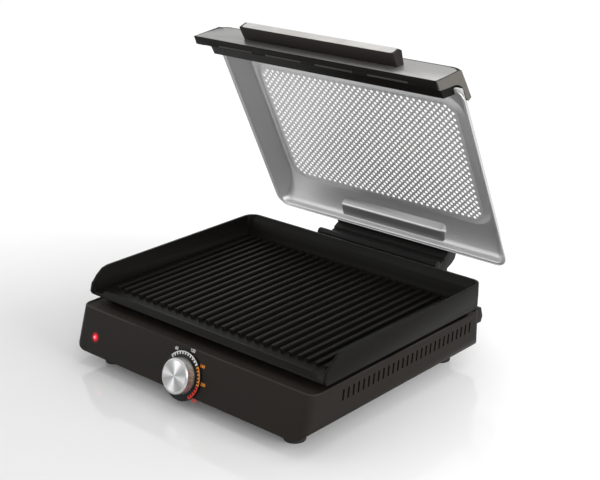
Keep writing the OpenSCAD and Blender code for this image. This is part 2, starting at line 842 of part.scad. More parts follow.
module lip_cut() {
  foot = plate_inner_half - lip_shoulder;
  top = foot - lip_shoulder_run;
  polygon([[-lip_half, plate_top + 5], [-lip_half, plate_floor_top], [-foot, plate_floor_top],
    [-top, lip_top], [top, lip_top], [foot, plate_floor_top], [lip_half, plate_floor_top],
    [lip_half, plate_top + 5]]);
}

module lip_face_cut() {
  polygon([[-lip_front - 10, plate_underside + 1], [-lip_front + 0.1, plate_underside + 1],
    [-lip_front + 2.6, lip_top - 1], [-lip_front + 3.6, lip_top], [-lip_front + 3.6, lip_top + 2],
    [-lip_front - 10, lip_top + 2]]);
}

module cooking_plate() color([0.12, 0.12, 0.12]) placed() {
  difference() {
    intersection() {
      along_x(-plate_half, plate_half) plate_side_view();
      along_y(-base_depth, base_depth) plate_front_view(0);
      linear_extrude(2 * plate_top)
        round_rect(-plate_half, plate_half, -base_depth, plate_back, plate_corner);
    }
    intersection() {
      along_x(-plate_half, plate_half) cavity_side_view();
      along_y(-base_depth, base_depth) plate_front_view(plate_wall);
      linear_extrude(2 * plate_top)
        round_rect(-plate_half + plate_wall, plate_half - plate_wall, -base_depth,
          plate_back - plate_wall, plate_corner - plate_wall);
    }
    along_y(-lip_front - lip_depth, -lip_front + lip_depth) lip_cut();
    along_x(-lip_half, lip_half) lip_face_cut();
  }
  for (i = [-rib_side_count:rib_side_count])
    translate([i * rib_pitch, 0, plate_floor_top - eps]) linear_extrude(rib_height + eps) {
      translate([-rib_width / 2, rib_front]) square([rib_width, rib_back - rib_front]);
      for (y = [rib_front, rib_back])
        translate([0, y]) circle(d = rib_width, $fn = 24);
    }
}

// ---- lid ----
module pan_side_view(g) {
  top = lid_depth - g;
  r = rear_wall_radius - g;
  intersection() {
    polygon([[g, -g], [g, top], [lid_length - pan_front_run - g, top],
      [lid_length - g, pan_edge], [lid_length - g, -g]]);
    union() {
      translate([rear_centre_v, lid_depth - rear_wall_radius]) circle(r, $fn = fine);
      translate([rear_centre_v, -g]) square([lid_length, lid_depth]);
    }
  }
}

module pan_front_view(g) {
  top = lid_depth - g;
  polygon([[-pan_half + g, -g], [pan_half - g, -g], [pan_half - g, pan_edge],
    [pan_half - side_slope_run - g, top], [-pan_half + side_slope_run + g, top],
    [-pan_half + g, pan_edge]]);
}

module pan_block(g) {
  intersection() {
    along_x(-pan_half, pan_half) pan_side_view(g);
    along_y(-lid_length, 2 * lid_length) pan_front_view(g);
    translate([0, 0, -g]) linear_extrude(lid_depth)
      round_rect(-pan_half + g, pan_half - g, g, 2 * lid_length, pan_corner_radius - g);
  }
}

module field_shape(g) {
  round_rect(-field_half - g, field_half + g, field_rear - g, field_front + g, field_radius + g);
}

module lid_pan() color([0.75, 0.75, 0.76]) placed() lid_frame() difference() {
  union() {
    difference() {
      pan_block(0);
      pan_block(sheet);
    }
    translate([0, 0, field_level - sheet]) linear_extrude(field_sink) field_shape(sheet);
    intersection() {
      pan_block(0);
      along_x(-bulge_half - hinge_shift, bulge_half - hinge_shift)
        polygon([[5.5, 9], [22.5, 12.3], [28.4, 21.7], [30, 30], [2, 14]]);
    }
  }
  translate([0, 0, field_level - 2 * sheet]) linear_extrude(4 * field_sink) field_shape(0);
  hinge_screw_places() cylinder(h = 30, d = screw_diameter, center = true);
}

module row(j) {
  n = holes_per_row - (j % 2);
  corner = (j == 0 || j == row_count - 1) ? 1 : 0;
  for (i = [corner:n - 1 - corner])
    translate([(i - (n - 1) / 2) * hole_pitch, field_rear + field_end_margin + j * row_pitch])
      circle(d = hole_diameter, $fn = 16);
}

module perforated_panel() color([0.8, 0.8, 0.81]) placed() lid_frame()
  translate([0, 0, field_level - sheet]) linear_extrude(sheet) difference() {
    field_shape(0);
    for (j = [0:row_count - 1])
      row(j);
  }

// ---- lid hinge ----
module block_view() {
  polygon([[-5.8, 1.9], [-6.5, -7.9], [-14.2, -12.4], [-21.3, -13.8], [-29, -9],
    [-25.7, -7.6], [-25.9, 4.9], [-24, 12.1], [-16.4, 19.8], [-5, 24], [14, 24], [14, 6],
    [1, 1.9]]);
}

module web_view() {
  polygon([[-8, -11], [-9.5, bar_w + 3], [-12.5, bar_w + 1], [-13, -13], [-14.5, -12.4]]);
}

module arm_view() {
  polygon([[-9, -11], [bar_v - 2, bar_w + 4], [bar_v - 2, bar_w - 4],
    [-axis_back + barrel_radius, -axis_drop], [-axis_back - barrel_radius, -axis_drop],
    [-32, -30], [-27, -10]]);
  translate([-axis_back, -axis_drop]) circle(barrel_radius);
}

module hinge_block() color([0.1, 0.09, 0.09]) placed() lid_frame() difference() {
  union() {
    translate([-hinge_shift, 0, 0]) {
      along_x(-hinge_half_width, hinge_half_width) {
        block_view();
        web_view();
      }
      both_sides() along_x(arm_inner, hinge_half_width) arm_view();
    }
    along_x(-bar_half_width, bar_half_width) translate([bar_v, bar_w]) circle(bar_radius);
  }
  pan_block(0);
  translate([0, -axis_back, -axis_drop])
    rod_x(-half_w, half_w, pin_diameter + 2 * fit_clearance);
  hinge_screw_places() cylinder(h = 30, d = screw_diameter, center = true);
}

module hinge_screw_places() {
  for (i = [-1:1])
    translate([i * block_screw_pitch - hinge_shift, 10.5, 14.5])
      rotate([block_screw_lean, 0, 0]) children();
}

module hinge_block_screws() color("silver") placed() lid_frame()
  hinge_screw_places() translate([0, 0, -2]) cylinder(h = 6, d = screw_diameter);

// ---- front trim ----
module trim_view() {
  polygon([[lid_length + 0.4, -21], [lid_length + 12.9, -22], [tip_v - 11.4, tip_w - 1],
    [tip_v, tip_w], [tip_v - face_run, tip_w + face_rise], [tip_v - 18.4, tip_w + 52],
    [lid_length - 8, tip_w + 52.6], [lid_length - 8, 0]]);
}

module trim_hollow() {
  polygon([[lid_length + 3, -18.5], [lid_length + 13.5, -20], [tip_v - 9, tip_w + 5],
    [tip_v - 19.2, tip_w + 45], [lid_length - 12, tip_w + 49.6], [lid_length - 6, 14]]);
}

// Inner edge of an end cap's arch, from the back to the front.
arch_edge = [[tip_v - 59, 9.5], [tip_v - 52.5, 6.3], [tip_v - 42.2, 5.9], [tip_v - 37.3, 5.4],
  [tip_v - 32.3, 2.4], [tip_v - 27.7, -2], [tip_v - 24.9, -7], [tip_v - 20, -19.6],
  [tip_v - 13.8, -33.9]];

module cap_view() {
  polygon(concat([[tip_v - 15.5, 10.4], [tip_v - 36.5, 13.1], [tip_v - 57.9, 15.6]], arch_edge,
    [[tip_v - 0.4, tip_w]]));
}

module arch_view() {
  polygon(concat(arch_edge, [[tip_v - 13.8, 2 * tip_w], [tip_v - 59, 2 * tip_w]]));
}

// Local X along the trim, local Y up its face, local Z out of the face.
module face_frame() {
  translate([0, tip_v, tip_w]) rotate([90 - face_lean, 0, 180]) children();
}

module trim_shape() {
  intersection() {
    along_x(-trim_half + trim_rise, trim_half - trim_rise) trim_view();
    face_frame() translate([0, 0, -base_width / 4])
      linear_extrude(base_width / 2) face_outline(0, -crown_low);
  }
  both_sides() along_x(cap_inner, trim_half) cap_view();
}

// Outline of the face, drawn in by a margin: square ends, bent shoulders and a straight crown.
module face_outline(margin, foot) {
  right = [[trim_half - margin, foot], [trim_half - margin, shoulder_height - margin],
    [crown_bend_half - margin, crown_bend_height - margin],
    [crown_half_width - margin, crown_height - margin]];
  polygon(concat(right, [for (i = [len(right) - 1:-1:0]) [-right[i][0], right[i][1]]]));
}

module inset_place() {
  face_frame() translate([0, 0, -inset_thickness]) children();
}

module front_trim() color([0.33, 0.31, 0.29]) placed() lid_frame() difference() {
  trim_shape();
  pan_block(0);
  along_x(-cap_inner + cap_wall, cap_inner - cap_wall) trim_hollow();
  both_sides() along_x(trim_half - arch_depth, trim_half + 1) arch_view();
  inset_place() linear_extrude(3) face_outline(inset_margin, inset_foot);
  handle_screw_places() cylinder(h = 30, d = screw_diameter, center = true);
  rest_places() cube([rest_length, rest_width, 2], center = true);
}

module trim_plate() color([0.4, 0.39, 0.38]) placed() lid_frame() difference() {
  inset_place() linear_extrude(inset_thickness + inset_proud)
    face_outline(inset_margin, inset_foot);
  handle_screw_places() cylinder(h = 30, d = screw_diameter, center = true);
}

module rest_places() {
  for (i = [-1.5, -0.5, 0.5, 1.5])
    translate([i * rest_pitch, tip_v - rest_setback, tip_w - rest_setback * tan(under_lean)])
      rotate([under_lean, 0, 0]) children();
}

module rest_strips() color([0.6, 0.6, 0.6]) placed() lid_frame()
  rest_places() translate([0, 0, inset_proud])
    cube([rest_length, rest_width, rest_thickness], center = true);

// ---- handle ----
module handle_view() {
  polygon([[tip_v - 18, tip_w + 20.5], [tip_v + 10.4, tip_w + 18.6],
    [tip_v + 12.5, tip_w + 19.8], [tip_v + 11.3, tip_w + 31.6], [tip_v + 6.3, tip_w + 35.7],
    [tip_v - 6.7, tip_w + 33.4], [tip_v - 20, tip_w + 31]]);
}

module handle_bar() color([0.12, 0.1, 0.09]) placed() lid_frame() difference() {
  along_x(-handle_half_width, handle_half_width) handle_view();
  face_frame() translate([-half_w, -half_w / 2, inset_proud - half_w])
    cube([base_width, half_w, half_w]);
  strip_places() linear_extrude(2 * strip_thickness) strip_outline();
  handle_screw_places() translate([0, 0, -2]) cylinder(h = 10, d = screw_diameter);
}

module strip_places() {
  translate([0, tip_v + strip_v, tip_w + strip_w]) rotate([strip_tilt, 0, 180])
    translate([0, 0, -strip_thickness]) children();
}

module strip_outline() {
  round_rect(-strip_half_width, strip_half_width, -strip_height / 2, strip_height / 2,
    strip_corner);
}

module handle_strip() color([0.88, 0.86, 0.82]) placed() lid_frame()
  strip_places() linear_extrude(strip_thickness + strip_proud) strip_outline();

module handle_screw_places() {
  face_frame() for (x = [-handle_screw_x, handle_screw_x])
    translate([x, handle_screw_rise, 0]) children();
}

module handle_screws() color("silver") placed() lid_frame()
  handle_screw_places() translate([0, 0, -4]) cylinder(h = 11, d = screw_diameter);

// ---- one solid module per node ----
base_housing();
bottom_cover();
cover_screws();
hinge_rail();
hinge_pins();
feet();
foot_pads();
foot_screws();
plate_supports();
dial_disc();
lamp_lens();
lamp_holder();
cord_gland();
reflector_tray();
heating_element();
element_clips();
terminal_plate();
terminal_tabs();
thermal_cutout();
thermostat_body();
thermostat_bracket();
thermostat_shaft();
knob_body();
knob_cap();
terminal_block();
wiring();
cooking_plate();
lid_pan();
perforated_panel();
hinge_block();
hinge_block_screws();
front_trim();
trim_plate();
handle_bar();
handle_strip();
handle_screws();
rest_strips();
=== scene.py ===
"""Dresses an electric indoor grill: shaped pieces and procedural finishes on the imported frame.

Everything is in metres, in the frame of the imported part: +Z up, +X to the right, +Y to the back.
"""

import json
import math

import bmesh
import bpy
from bpy.props import FloatProperty, FloatVectorProperty, IntProperty, PointerProperty
from mathutils import Matrix, Vector


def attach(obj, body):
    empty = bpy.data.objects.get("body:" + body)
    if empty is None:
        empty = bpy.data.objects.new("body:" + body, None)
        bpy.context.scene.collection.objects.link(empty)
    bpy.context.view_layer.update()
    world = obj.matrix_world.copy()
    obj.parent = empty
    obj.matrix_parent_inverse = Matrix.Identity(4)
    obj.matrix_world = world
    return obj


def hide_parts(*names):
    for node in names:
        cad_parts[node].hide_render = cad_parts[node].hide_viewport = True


bl_info = {
    "name": "Indoor grill dressing",
    "version": (1, 0, 0),
    "blender": (4, 5, 0),
    "location": "View3D > Sidebar > Grill",
    "description": "Shaped pieces, finishes and stage for an electric indoor grill",
    "category": "Object",
}

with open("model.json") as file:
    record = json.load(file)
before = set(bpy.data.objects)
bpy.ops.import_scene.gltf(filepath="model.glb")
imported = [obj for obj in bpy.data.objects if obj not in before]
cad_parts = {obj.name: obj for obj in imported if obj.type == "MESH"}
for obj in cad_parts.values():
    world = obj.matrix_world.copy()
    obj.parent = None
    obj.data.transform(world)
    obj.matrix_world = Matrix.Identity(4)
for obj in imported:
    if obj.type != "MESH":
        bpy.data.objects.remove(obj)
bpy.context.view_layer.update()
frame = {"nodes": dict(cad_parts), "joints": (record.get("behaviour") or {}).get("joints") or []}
NODES = frame["nodes"]
JOINTS = {joint["name"]: joint for joint in frame["joints"]}

MM = 0.001
# How near two coordinates lie that count as the same.
NEAR = 0.1 * MM
HINGE = Vector(JOINTS["lid_hinge"]["pos_m"])
LID_OPEN = -math.radians(JOINTS["lid_hinge"]["range_deg"][0])
KNOB = Vector(JOINTS["knob_turn"]["pos_m"])
KNOB_AXIS = Vector(JOINTS["knob_turn"]["axis"])
PANEL_LEAN = math.asin(-KNOB_AXIS.z)
HINGE_SHIFT = HINGE.x

# Only the sheet's cut edges are sharper than this.
SHEET_ANGLE = math.radians(65)

# Where the closed lid's rear rim lies from the hinge axis.
AXIS_BACK = 30 * MM
AXIS_DROP = 47.7 * MM

# Lid frame: X across, Y from the rear rim to the front, Z up when the lid is closed.
LID = (
    Matrix.Translation((0, HINGE.y, HINGE.z))
    @ Matrix.Rotation(math.pi, 4, "Z")
    @ Matrix.Rotation(LID_OPEN, 4, "X")
    @ Matrix.Translation((0, AXIS_BACK, AXIS_DROP))
)
# Panel frame: X along the front panel, Y up its slope, Z out of it, centred on the knob.
PANEL_TURN = math.pi / 2 - PANEL_LEAN
PANEL = Matrix.Translation(KNOB) @ Matrix.Rotation(PANEL_TURN, 4, "X")


def box_in(place, node):
    """Lowest and highest corner of a CAD node in a placed frame."""
    inverse = place.inverted()
    points = [inverse @ vertex.co for vertex in NODES[node].data.vertices]
    low = Vector([min(point[axis] for point in points) for axis in range(3)])
    high = Vector([max(point[axis] for point in points) for axis in range(3)])
    return low, high


PAN_HIGH = box_in(LID, "lid_pan")[1]
FIELD_LOW, FIELD_HIGH = box_in(LID, "perforated_panel")
DIAL_HIGH = box_in(PANEL, "dial_disc")[1]
KNOB_LOW, KNOB_HIGH = box_in(PANEL, "knob_body")
LENS_LOW, LENS_HIGH = box_in(PANEL, "lamp_lens")
LENS_CENTRE = (LENS_LOW + LENS_HIGH) / 2
LENS = PANEL @ Matrix.Translation((LENS_CENTRE.x, LENS_CENTRE.y, 0))


# ---- sizes and colours that a user would change ----
def size(name, description, millimetres):
    """A length property in metres, with its default given in millimetres."""
    return FloatProperty(
        name=name, description=description, default=millimetres * MM, unit="LENGTH", precision=5
    )


def colour(name, description, value):
    """A colour property."""
    return FloatVectorProperty(
        name=name, description=description, default=value, subtype="COLOR", size=3, min=0, max=1
    )


class GrillSizes(bpy.types.PropertyGroup):
    """Lengths of the shaped pieces."""

    edge_round: size("Edge round", "Rounding of moulded edges", 0.9)
    rim_round: size("Rim round", "Rounding of the housing's rim", 1.3)
    plate_round: size("Plate round", "Rounding of the cast plate's edges", 0.7)
    trim_round: size("Trim round", "Rounding of the front trim's edges", 0.8)
    fine_round: size("Fine round", "Rounding of the strips' edges", 0.4)
    sheet_round: size("Sheet round", "Rounding of the brushed plate's edges", 0.25)
    handle_round: size("Handle round", "Rounding of the handle's ends", 4.5)
    sheet: size("Sheet", "Thickness of the lid's sheet", 1.2)
    rim_height: size("Rim height", "Upright height of the lid's rim", 2.0)
    flange: size("Flange", "Width of the flange round the lid's rim", 3.2)
    pan_run: size("Side run", "Inward run of the lid's side slopes", 20.5)
    pan_front_run: size("Front run", "Inward run of the lid's front slope", 14.0)
    rear_radius: size("Rear radius", "Radius of the lid's rear wall", 81.0)
    rear_centre: size("Rear centre", "Centre of the rear wall's curve, from the rear rim", 53.0)
    pan_corner: size("Pan corner", "Corner radius of the lid's rim", 18.0)
    field_corner: size("Field corner", "Corner radius of the perforated field", 20.0)
    field_slope: size("Field slope", "Run of the slope round the perforated field", 9.0)
    field_tuck: size("Field tuck", "Overlap of the shell on the perforated field", 0.4)
    top_corner: size("Top corner", "Corner radius of the lid's flat top", 14.0)
    brow: size("Brow", "Flat run between the field's slope and the rear wall", 4.5)
    edge_roll: size("Edge roll", "Rounding of the sheet's cut edges", 0.45)
    press_round: size("Press round", "Offset of the rounding at the pressed bends", 3.0)
    bulge_half: size("Bulge half", "Half width of the hinge recess inside the lid", 90.0)
    nose: size("Nose", "Rounding at one end of the hinge recess", 11.0)
    recess_draft: size("Recess draft", "Run of the slope at its other end", 1.5)
    dial_round: size("Dial round", "Rounding of the dial disc", 0.5)
    scale_band: size("Scale band", "Width of the printed arc without its teeth", 1.45)
    tooth_overlap: size("Tooth overlap", "Overlap of the arc's teeth on its band", 0.145)
    scale_inner: size("Scale inner", "Inner radius of the dial's printed arc", 26.2)
    scale_outer: size("Scale outer", "Outer radius of the dial's printed arc", 30.2)
    number_radius: size("Number radius", "Distance of the dial's numbers from its centre", 34.4)
    number_height: size("Number height", "Height of the dial's numbers", 5.4)
    number_bold: size("Number bold", "Added stroke width of the dial's numbers", 0.2)
    print_lift: size("Print lift", "Gap under printed marks", 0.02)
    print_height: size("Print height", "Thickness of printed marks", 0.08)
    cap_round: size("Cap round", "Rounding of the knob's face", 0.3)
    spin_steps: IntProperty(name="Spin steps", description="Steps of a turned piece", default=96)


class GrillColours(bpy.types.PropertyGroup):
    """Colours of the finishes, scene linear."""

    housing: colour("Housing", "Warm dark brown-grey moulding", (0.0145, 0.0115, 0.009))
    # Paler colour of the moulding's rounded edges: rub marks and a painted edge highlight.
    housing_edge_rub_sheen: colour("Housing worn", "Rubbed moulding edges", (0.075, 0.067, 0.06))
    black: colour("Black", "Black mouldings", (0.009, 0.0085, 0.008))
    plate: colour("Plate", "Non-stick coating", (0.0046, 0.0041, 0.0032))
    # Paler colour of the coating's rounded edges: rub marks and a painted edge highlight.
    plate_edge_rub_sheen: colour("Plate worn", "Rubbed coating edges", (0.09, 0.085, 0.08))
    steel: colour("Steel", "Satin steel sheet", (0.72, 0.72, 0.72))
    panel: colour("Panel", "Perforated steel sheet", (0.78, 0.78, 0.78))
    graphite: colour("Graphite", "Brushed plate on the trim", (0.4, 0.395, 0.39))
    trim: colour("Trim", "Front trim moulding", (0.0075, 0.0066, 0.0058))
    cap: colour("Cap", "Flat ends of the trim's caps", (0.13, 0.122, 0.11))
    handle: colour("Handle", "Handle moulding", (0.017, 0.0135, 0.0115))
    strip: colour("Strip", "Light strip on the handle", (0.78, 0.76, 0.72))
    chrome: colour("Chrome", "Side of the knob", (0.62, 0.61, 0.6))
    aluminium: colour("Aluminium", "Turned knob face", (0.97, 0.97, 0.98))
    print_white: colour("White print", "Low part of the dial's scale", (0.78, 0.78, 0.76))
    print_orange: colour("Orange print", "Middle part of the dial's scale", (0.9, 0.28, 0.015))
    print_red: colour("Red print", "High part of the dial's scale", (0.8, 0.03, 0.015))
    lamp: colour("Lamp", "Glow of the lamp", (1.0, 0.02, 0.05))


class GrillStage(bpy.types.PropertyGroup):
    """Camera and light."""

    camera: FloatVectorProperty(
        name="Camera",
        description="Place of the camera",
        default=(1.0516, -1.1541, 0.7367),
        subtype="TRANSLATION",
    )
    azimuth: FloatProperty(
        name="Azimuth", description="Turn of the view", default=math.radians(41.99), subtype="ANGLE"
    )
    elevation: FloatProperty(
        name="Elevation", description="Tilt of the view", default=math.radians(20.34), subtype="ANGLE"
    )
    roll: FloatProperty(
        name="Roll", description="Roll of the view", default=math.radians(-0.29), subtype="ANGLE"
    )
    lens: FloatProperty(name="Lens", description="Focal length, mm", default=78.12)
    mirrored: FloatProperty(name="Mirrored", description="What glossy pieces reflect", default=0.82)
    ambient: FloatProperty(name="Ambient", description="Light of the surroundings", default=0.5)


def sizes():
    return bpy.context.scene.grill_sizes


def colours():
    return bpy.context.scene.grill_colours


# ---- finishes ----
class Value:
    """A number over a surface. Python's operators add the Math nodes."""

    def __init__(self, finish, socket):
        self.finish = finish
        self.socket = socket

    def math(self, operation, other=0.0, swapped=False):
        pair = (other, self) if swapped else (self, other)
        return self.finish.add("ShaderNodeMath", {"operation": operation}, {0: pair[0], 1: pair[1]})

    def __add__(self, other):
        return self.math("ADD", other)

    __radd__ = __add__

    def __sub__(self, other):
        return self.math("SUBTRACT", other)

    def __rsub__(self, other):
        return self.math("SUBTRACT", other, swapped=True)

    def __mul__(self, other):
        return self.math("MULTIPLY", other)

    __rmul__ = __mul__

    def __pow__(self, other):
        return self.math("POWER", other)

    def clipped(self):
        return self.math("MAXIMUM", 0.0).math("MINIMUM", 1.0)


class Finish:
    """One procedural material, its shader and the nodes that feed it."""

    def __init__(self, name, **constants):
        self.material = bpy.data.materials.new(name)
        self.material.use_nodes = True
        self.tree = self.material.node_tree
        self.shader = self.tree.nodes["Principled BSDF"]
        for key, value in constants.items():
            self.feed(key.replace("_", " ").title().replace("Ior", "IOR"), value)
        self.place = self.add("ShaderNodeTexCoord", output="Object")

    def add(self, kind, settings=None, sockets=None, output=0):
        """Adds a node: its settings first, then the values or links of its sockets."""
        node = self.tree.nodes.new(kind)
        for key, value in (settings or {}).items():
            setattr(node, key, value)
        for key, value in (sockets or {}).items():
            self.join(node.inputs[key], value)
        return Value(self, node.outputs[output])

    def join(self, socket, value):
        if isinstance(value, Value):
            self.tree.links.new(value.socket, socket)
        elif socket.type == "RGBA" and len(value) == 3:
            socket.default_value = (*value, 1)
        else:
            socket.default_value = value

    def feed(self, name, value):
        """Sets or links one socket of the shader."""
        self.join(self.shader.inputs[name], value)

    def blend(self, factor, first, second):
        """Mixes two colours."""
        return self.add(
            "ShaderNodeMix",
            {"data_type": "RGBA"},
            {"Factor": factor, 6: first, 7: second},
            output=2,
        )

    def noise(self, scale, detail=2.0, place=None, roughness=0.5):
        return self.add(
            "ShaderNodeTexNoise",
            None,
            {
                "Vector": place or self.place,
                "Scale": scale,
                "Detail": detail,
                "Roughness": roughness,
            },
            output="Fac",
        )

    def ramp(self, value, low, high):
        """Maps a value from low..high to 0..1, smoothly."""
        return self.add(
            "ShaderNodeMapRange",
            {"interpolation_type": "SMOOTHSTEP"},
            {"Value": value, "From Min": low, "From Max": high},
        )

    def stretched(self, scale):
        """Object coordinates stretched along one way, for a brushed grain."""
        return self.add(
            "ShaderNodeMapping",
            {"vector_type": "POINT"},
            {"Vector": self.place, "Scale": scale},
        )

    def local(self, place):
        """Object coordinates seen from a placed frame."""
        spot, turn, _ = place.decompose()
        return self.add(
            "ShaderNodeMapping",
            {"vector_type": "TEXTURE"},
            {"Vector": self.place, "Location": spot, "Rotation": turn.to_euler()},
        )

    def parts(self, vector):
        """X, Y and Z of a vector."""
        node = self.add("ShaderNodeSeparateXYZ", None, {0: vector}).socket.node
        return [Value(self, socket) for socket in node.outputs]

    def reach(self, *parts):
        """Distance from the origin, from some of its parts."""
        total = parts[0] * parts[0]
        for part in parts[1:]:
            total = total + part * part
        return total.math("SQRT")

    def wear_and_sheen(self):
        """The paler share of a piece's rounded edges and ridges: rub marks and a painted highlight."""
        return self.add(
            "ShaderNodeAttribute",
            {"attribute_type": "GEOMETRY", "attribute_name": "wear_and_sheen"},
            output="Fac",
        )

    def bump(self, height, distance, strength=1.0):
        self.feed(
            "Normal",
            self.add(
                "ShaderNodeBump", None, {"Height": height, "Distance": distance, "Strength": strength}
            ),
        )


def moulded(name, tone, worn_and_sheen, roughness=0.5, specular=0.16, grain=0.00006):
    """Fine-grained moulded plastic, a little paler along its rounded edges: rub marks and a painted edge
    highlight.
    """
    finish = Finish(name, specular_ior_level=specular)
    cloud = finish.noise(9.0, 3.0)
    fine = finish.noise(1500.0, 2.0)
    speck = finish.noise(420.0, 2.0)
    # Paler rounded edges, in patches: rub marks and a painted edge highlight.
    rubbed_and_sheen = (finish.wear_and_sheen() * finish.ramp(cloud, 0.35, 0.7) * 0.55).clipped()
    dusty = (finish.ramp(cloud, 0.3, 0.75) * 0.16 + finish.ramp(speck, 0.5, 0.8) * 0.1).clipped()
    lighter = [channel * 1.6 + 0.002 for channel in tone]
    finish.base = finish.blend(rubbed_and_sheen, finish.blend(dusty, tone, lighter), worn_and_sheen)
    finish.feed("Base Color", finish.base)
    finish.feed("Roughness", (cloud * 0.14 + speck * 0.06 + (roughness - 0.1)).clipped())
    finish.bump(fine * 0.7 + speck * 0.3, grain, 0.6)
    return finish


def brushed(name, tone, roughness, scale, contrast=0.1, depth=0.00002, metallic=1.0, rubbed_and_sheen=None):
    """Metal with a fine brushed grain along one way, brighter on its marked edges, bends and ridges: a
    painted highlight, with rub marks on the edges.
    """
    finish = Finish(name, metallic=metallic)
    grain = finish.noise(1.0, 3.0, finish.stretched(scale), 0.6)
    cloud = finish.noise(7.0, 2.0)
    dark = [channel * (1 - contrast) for channel in tone]
    light = [min(1.0, channel * (1 + contrast * 0.6)) for channel in tone]
    spread = (finish.ramp(grain, 0.3, 0.7) * 0.7 + cloud * 0.3).clipped()
    # Marked edges, bends and ridges turn brighter: a painted highlight, with rub marks on the edges.
    worn_and_sheen = (finish.wear_and_sheen() * (0.9 if rubbed_and_sheen else 0.4)).clipped()
    bright = rubbed_and_sheen or [min(1.0, channel * 1.15) for channel in tone]
    finish.feed("Base Color", finish.blend(worn_and_sheen, finish.blend(spread, dark, light), bright))
    finish.feed("Roughness", (grain * 0.12 + cloud * 0.06 + (roughness - 0.09)).clipped())
    finish.bump(grain, depth, 0.5)
    return finish


def coated(name, tone, worn_and_sheen, roughness=0.42):
    """Non-stick coating with fine flecks, paler along its rounded edges: rub marks and a painted edge
    highlight.
    """
    finish = Finish(name, specular_ior_level=0.12)
    flecks = finish.add(
        "ShaderNodeTexVoronoi", {"feature": "F1"}, {"Vector": finish.place, "Scale": 900.0}
    )
    cloud = finish.noise(14.0, 3.0)
    fine = finish.noise(1100.0, 2.0)
    # Paler rounded edges, in patches: rub marks and a painted edge highlight.
    rubbed_and_sheen = (finish.wear_and_sheen() * finish.ramp(cloud, 0.3, 0.7) * 0.5).clipped()
    fleck = (1 - finish.ramp(flecks, 0.12, 0.3)) * finish.ramp(fine, 0.5, 0.62) * 0.35
    light = [channel * 4.0 for channel in tone]
    finish.feed("Base Color", finish.blend(rubbed_and_sheen, finish.blend(fleck.clipped(), tone, light), worn_and_sheen))
    finish.feed("Roughness", (cloud * 0.16 + fine * 0.06 + (roughness - 0.11)).clipped())
    finish.bump(fine, 0.00005, 0.5)
    return finish


def plain(name, tone, roughness, metallic=0.0, specular=0.5, coat=0.0):
    """A small part's finish: faint clouds in colour and gloss, and a fine grain."""
    finish = Finish(name, metallic=metallic, specular_ior_level=specular, coat_weight=coat)
    cloud = finish.noise(30.0, 3.0)
    fine = finish.noise(900.0, 2.0)
    dark = [channel * 0.82 for channel in tone]
    finish.feed("Base Color", finish.blend(finish.ramp(cloud, 0.3, 0.7), dark, tone))
    finish.feed("Roughness", (cloud * 0.12 + (roughness - 0.06)).clipped())
    finish.bump(fine, 0.00003, 0.4)
    return finish


# Pitch of the rings on the knob's face.
RING_PITCH = 0.45 * MM


def turned(name, tone):
    """A spun metal face: fine rings, and soft sectors painted into its colour as a highlight, darker
    between them.
    """
    finish = Finish(name, metallic=1.0)
    x, y, _ = finish.parts(finish.local(PANEL))
    reach = finish.reach(x, y)
    angle = y.math("ARCTAN2", x)
    rings = (reach * (2 * math.pi / RING_PITCH)).math("SINE")
    # Bright sectors and streaks painted into the face's colour: a painted highlight, with painted shade
    # between.
    sector = ((angle * 4 + 0.3).math("COSINE") * 0.5 + 0.5) ** 2
    narrow_sheen = ((angle * 2 - 2.6).math("COSINE") * 0.5 + 0.5) ** 3
    streak = finish.noise(1.0, 3.0, finish.add("ShaderNodeCombineXYZ", None, {0: angle * 16, 1: reach}))
    painted_sheen = (sector * 0.65 + narrow_sheen * 0.3 + finish.ramp(streak, 0.3, 0.7) * 0.25).clipped()
    dark = [channel * 0.3 for channel in tone]
    finish.feed("Base Color", finish.blend(painted_sheen, dark, tone))
    finish.feed("Roughness", (rings * 0.05 + 0.33).clipped())
    finish.bump(rings, 0.00001, 0.8)
    return finish


# The lamp's red light: the lens's bright core, and where the light on the panel fades and ends.
GLOW_CORE = 2.2 * MM
GLOW_NEAR = 2 * MM
GLOW_FAR = 9 * MM
GLOW_STRENGTH = 0.8


def housing_finish():
    """The housing's moulding, with the lamp's red light on the panel round it."""
    tones = colours()
    finish = moulded("housing_grain", tones.housing, tones.housing_edge_rub_sheen)
    reach = finish.reach(*finish.parts(finish.local(LENS)))
    spill = (1 - finish.ramp(reach, GLOW_NEAR, GLOW_FAR)) ** 2
    finish.feed("Emission Color", finish.blend(spill, (0, 0, 0), tones.lamp))
    finish.feed("Emission Strength", GLOW_STRENGTH)
    return finish


# Depth of the paler skin on the caps' flat ends.
CAP_SKIN = 0.7 * MM


def trim_finish():
    """The trim's moulding, paler on the flat ends of its caps."""
    tones = colours()
    finish = moulded("trim_moulding", tones.trim, tones.housing_edge_rub_sheen, 0.45, 0.1)
    x, _, _ = finish.parts(finish.place)
    end = max(vertex.co.x for vertex in NODES["front_trim"].data.vertices)
    ends = finish.ramp(x.math("ABSOLUTE"), end - 2 * CAP_SKIN, end - CAP_SKIN)
    cloud = finish.noise(60.0, 3.0)
    pale = finish.blend(cloud, tones.cap, [channel * 1.25 for channel in tones.cap])
    finish.feed("Base Color", finish.blend(ends, finish.base, pale))
    return finish


def glowing(name, tone, strength):
    """The lit lens: brightest in the middle."""
    finish = Finish(name, roughness=0.2, coat_weight=0.5)
    finish.feed("Base Color", tone)
    x, y, _ = finish.parts(finish.local(LENS))
    middle = 1 - finish.ramp(finish.reach(x, y), 0.0, GLOW_CORE)
    finish.feed("Emission Color", finish.blend(middle * 0.7, tone, (1.0, 0.45, 0.42)))
    finish.feed("Emission Strength", strength)
    return finish


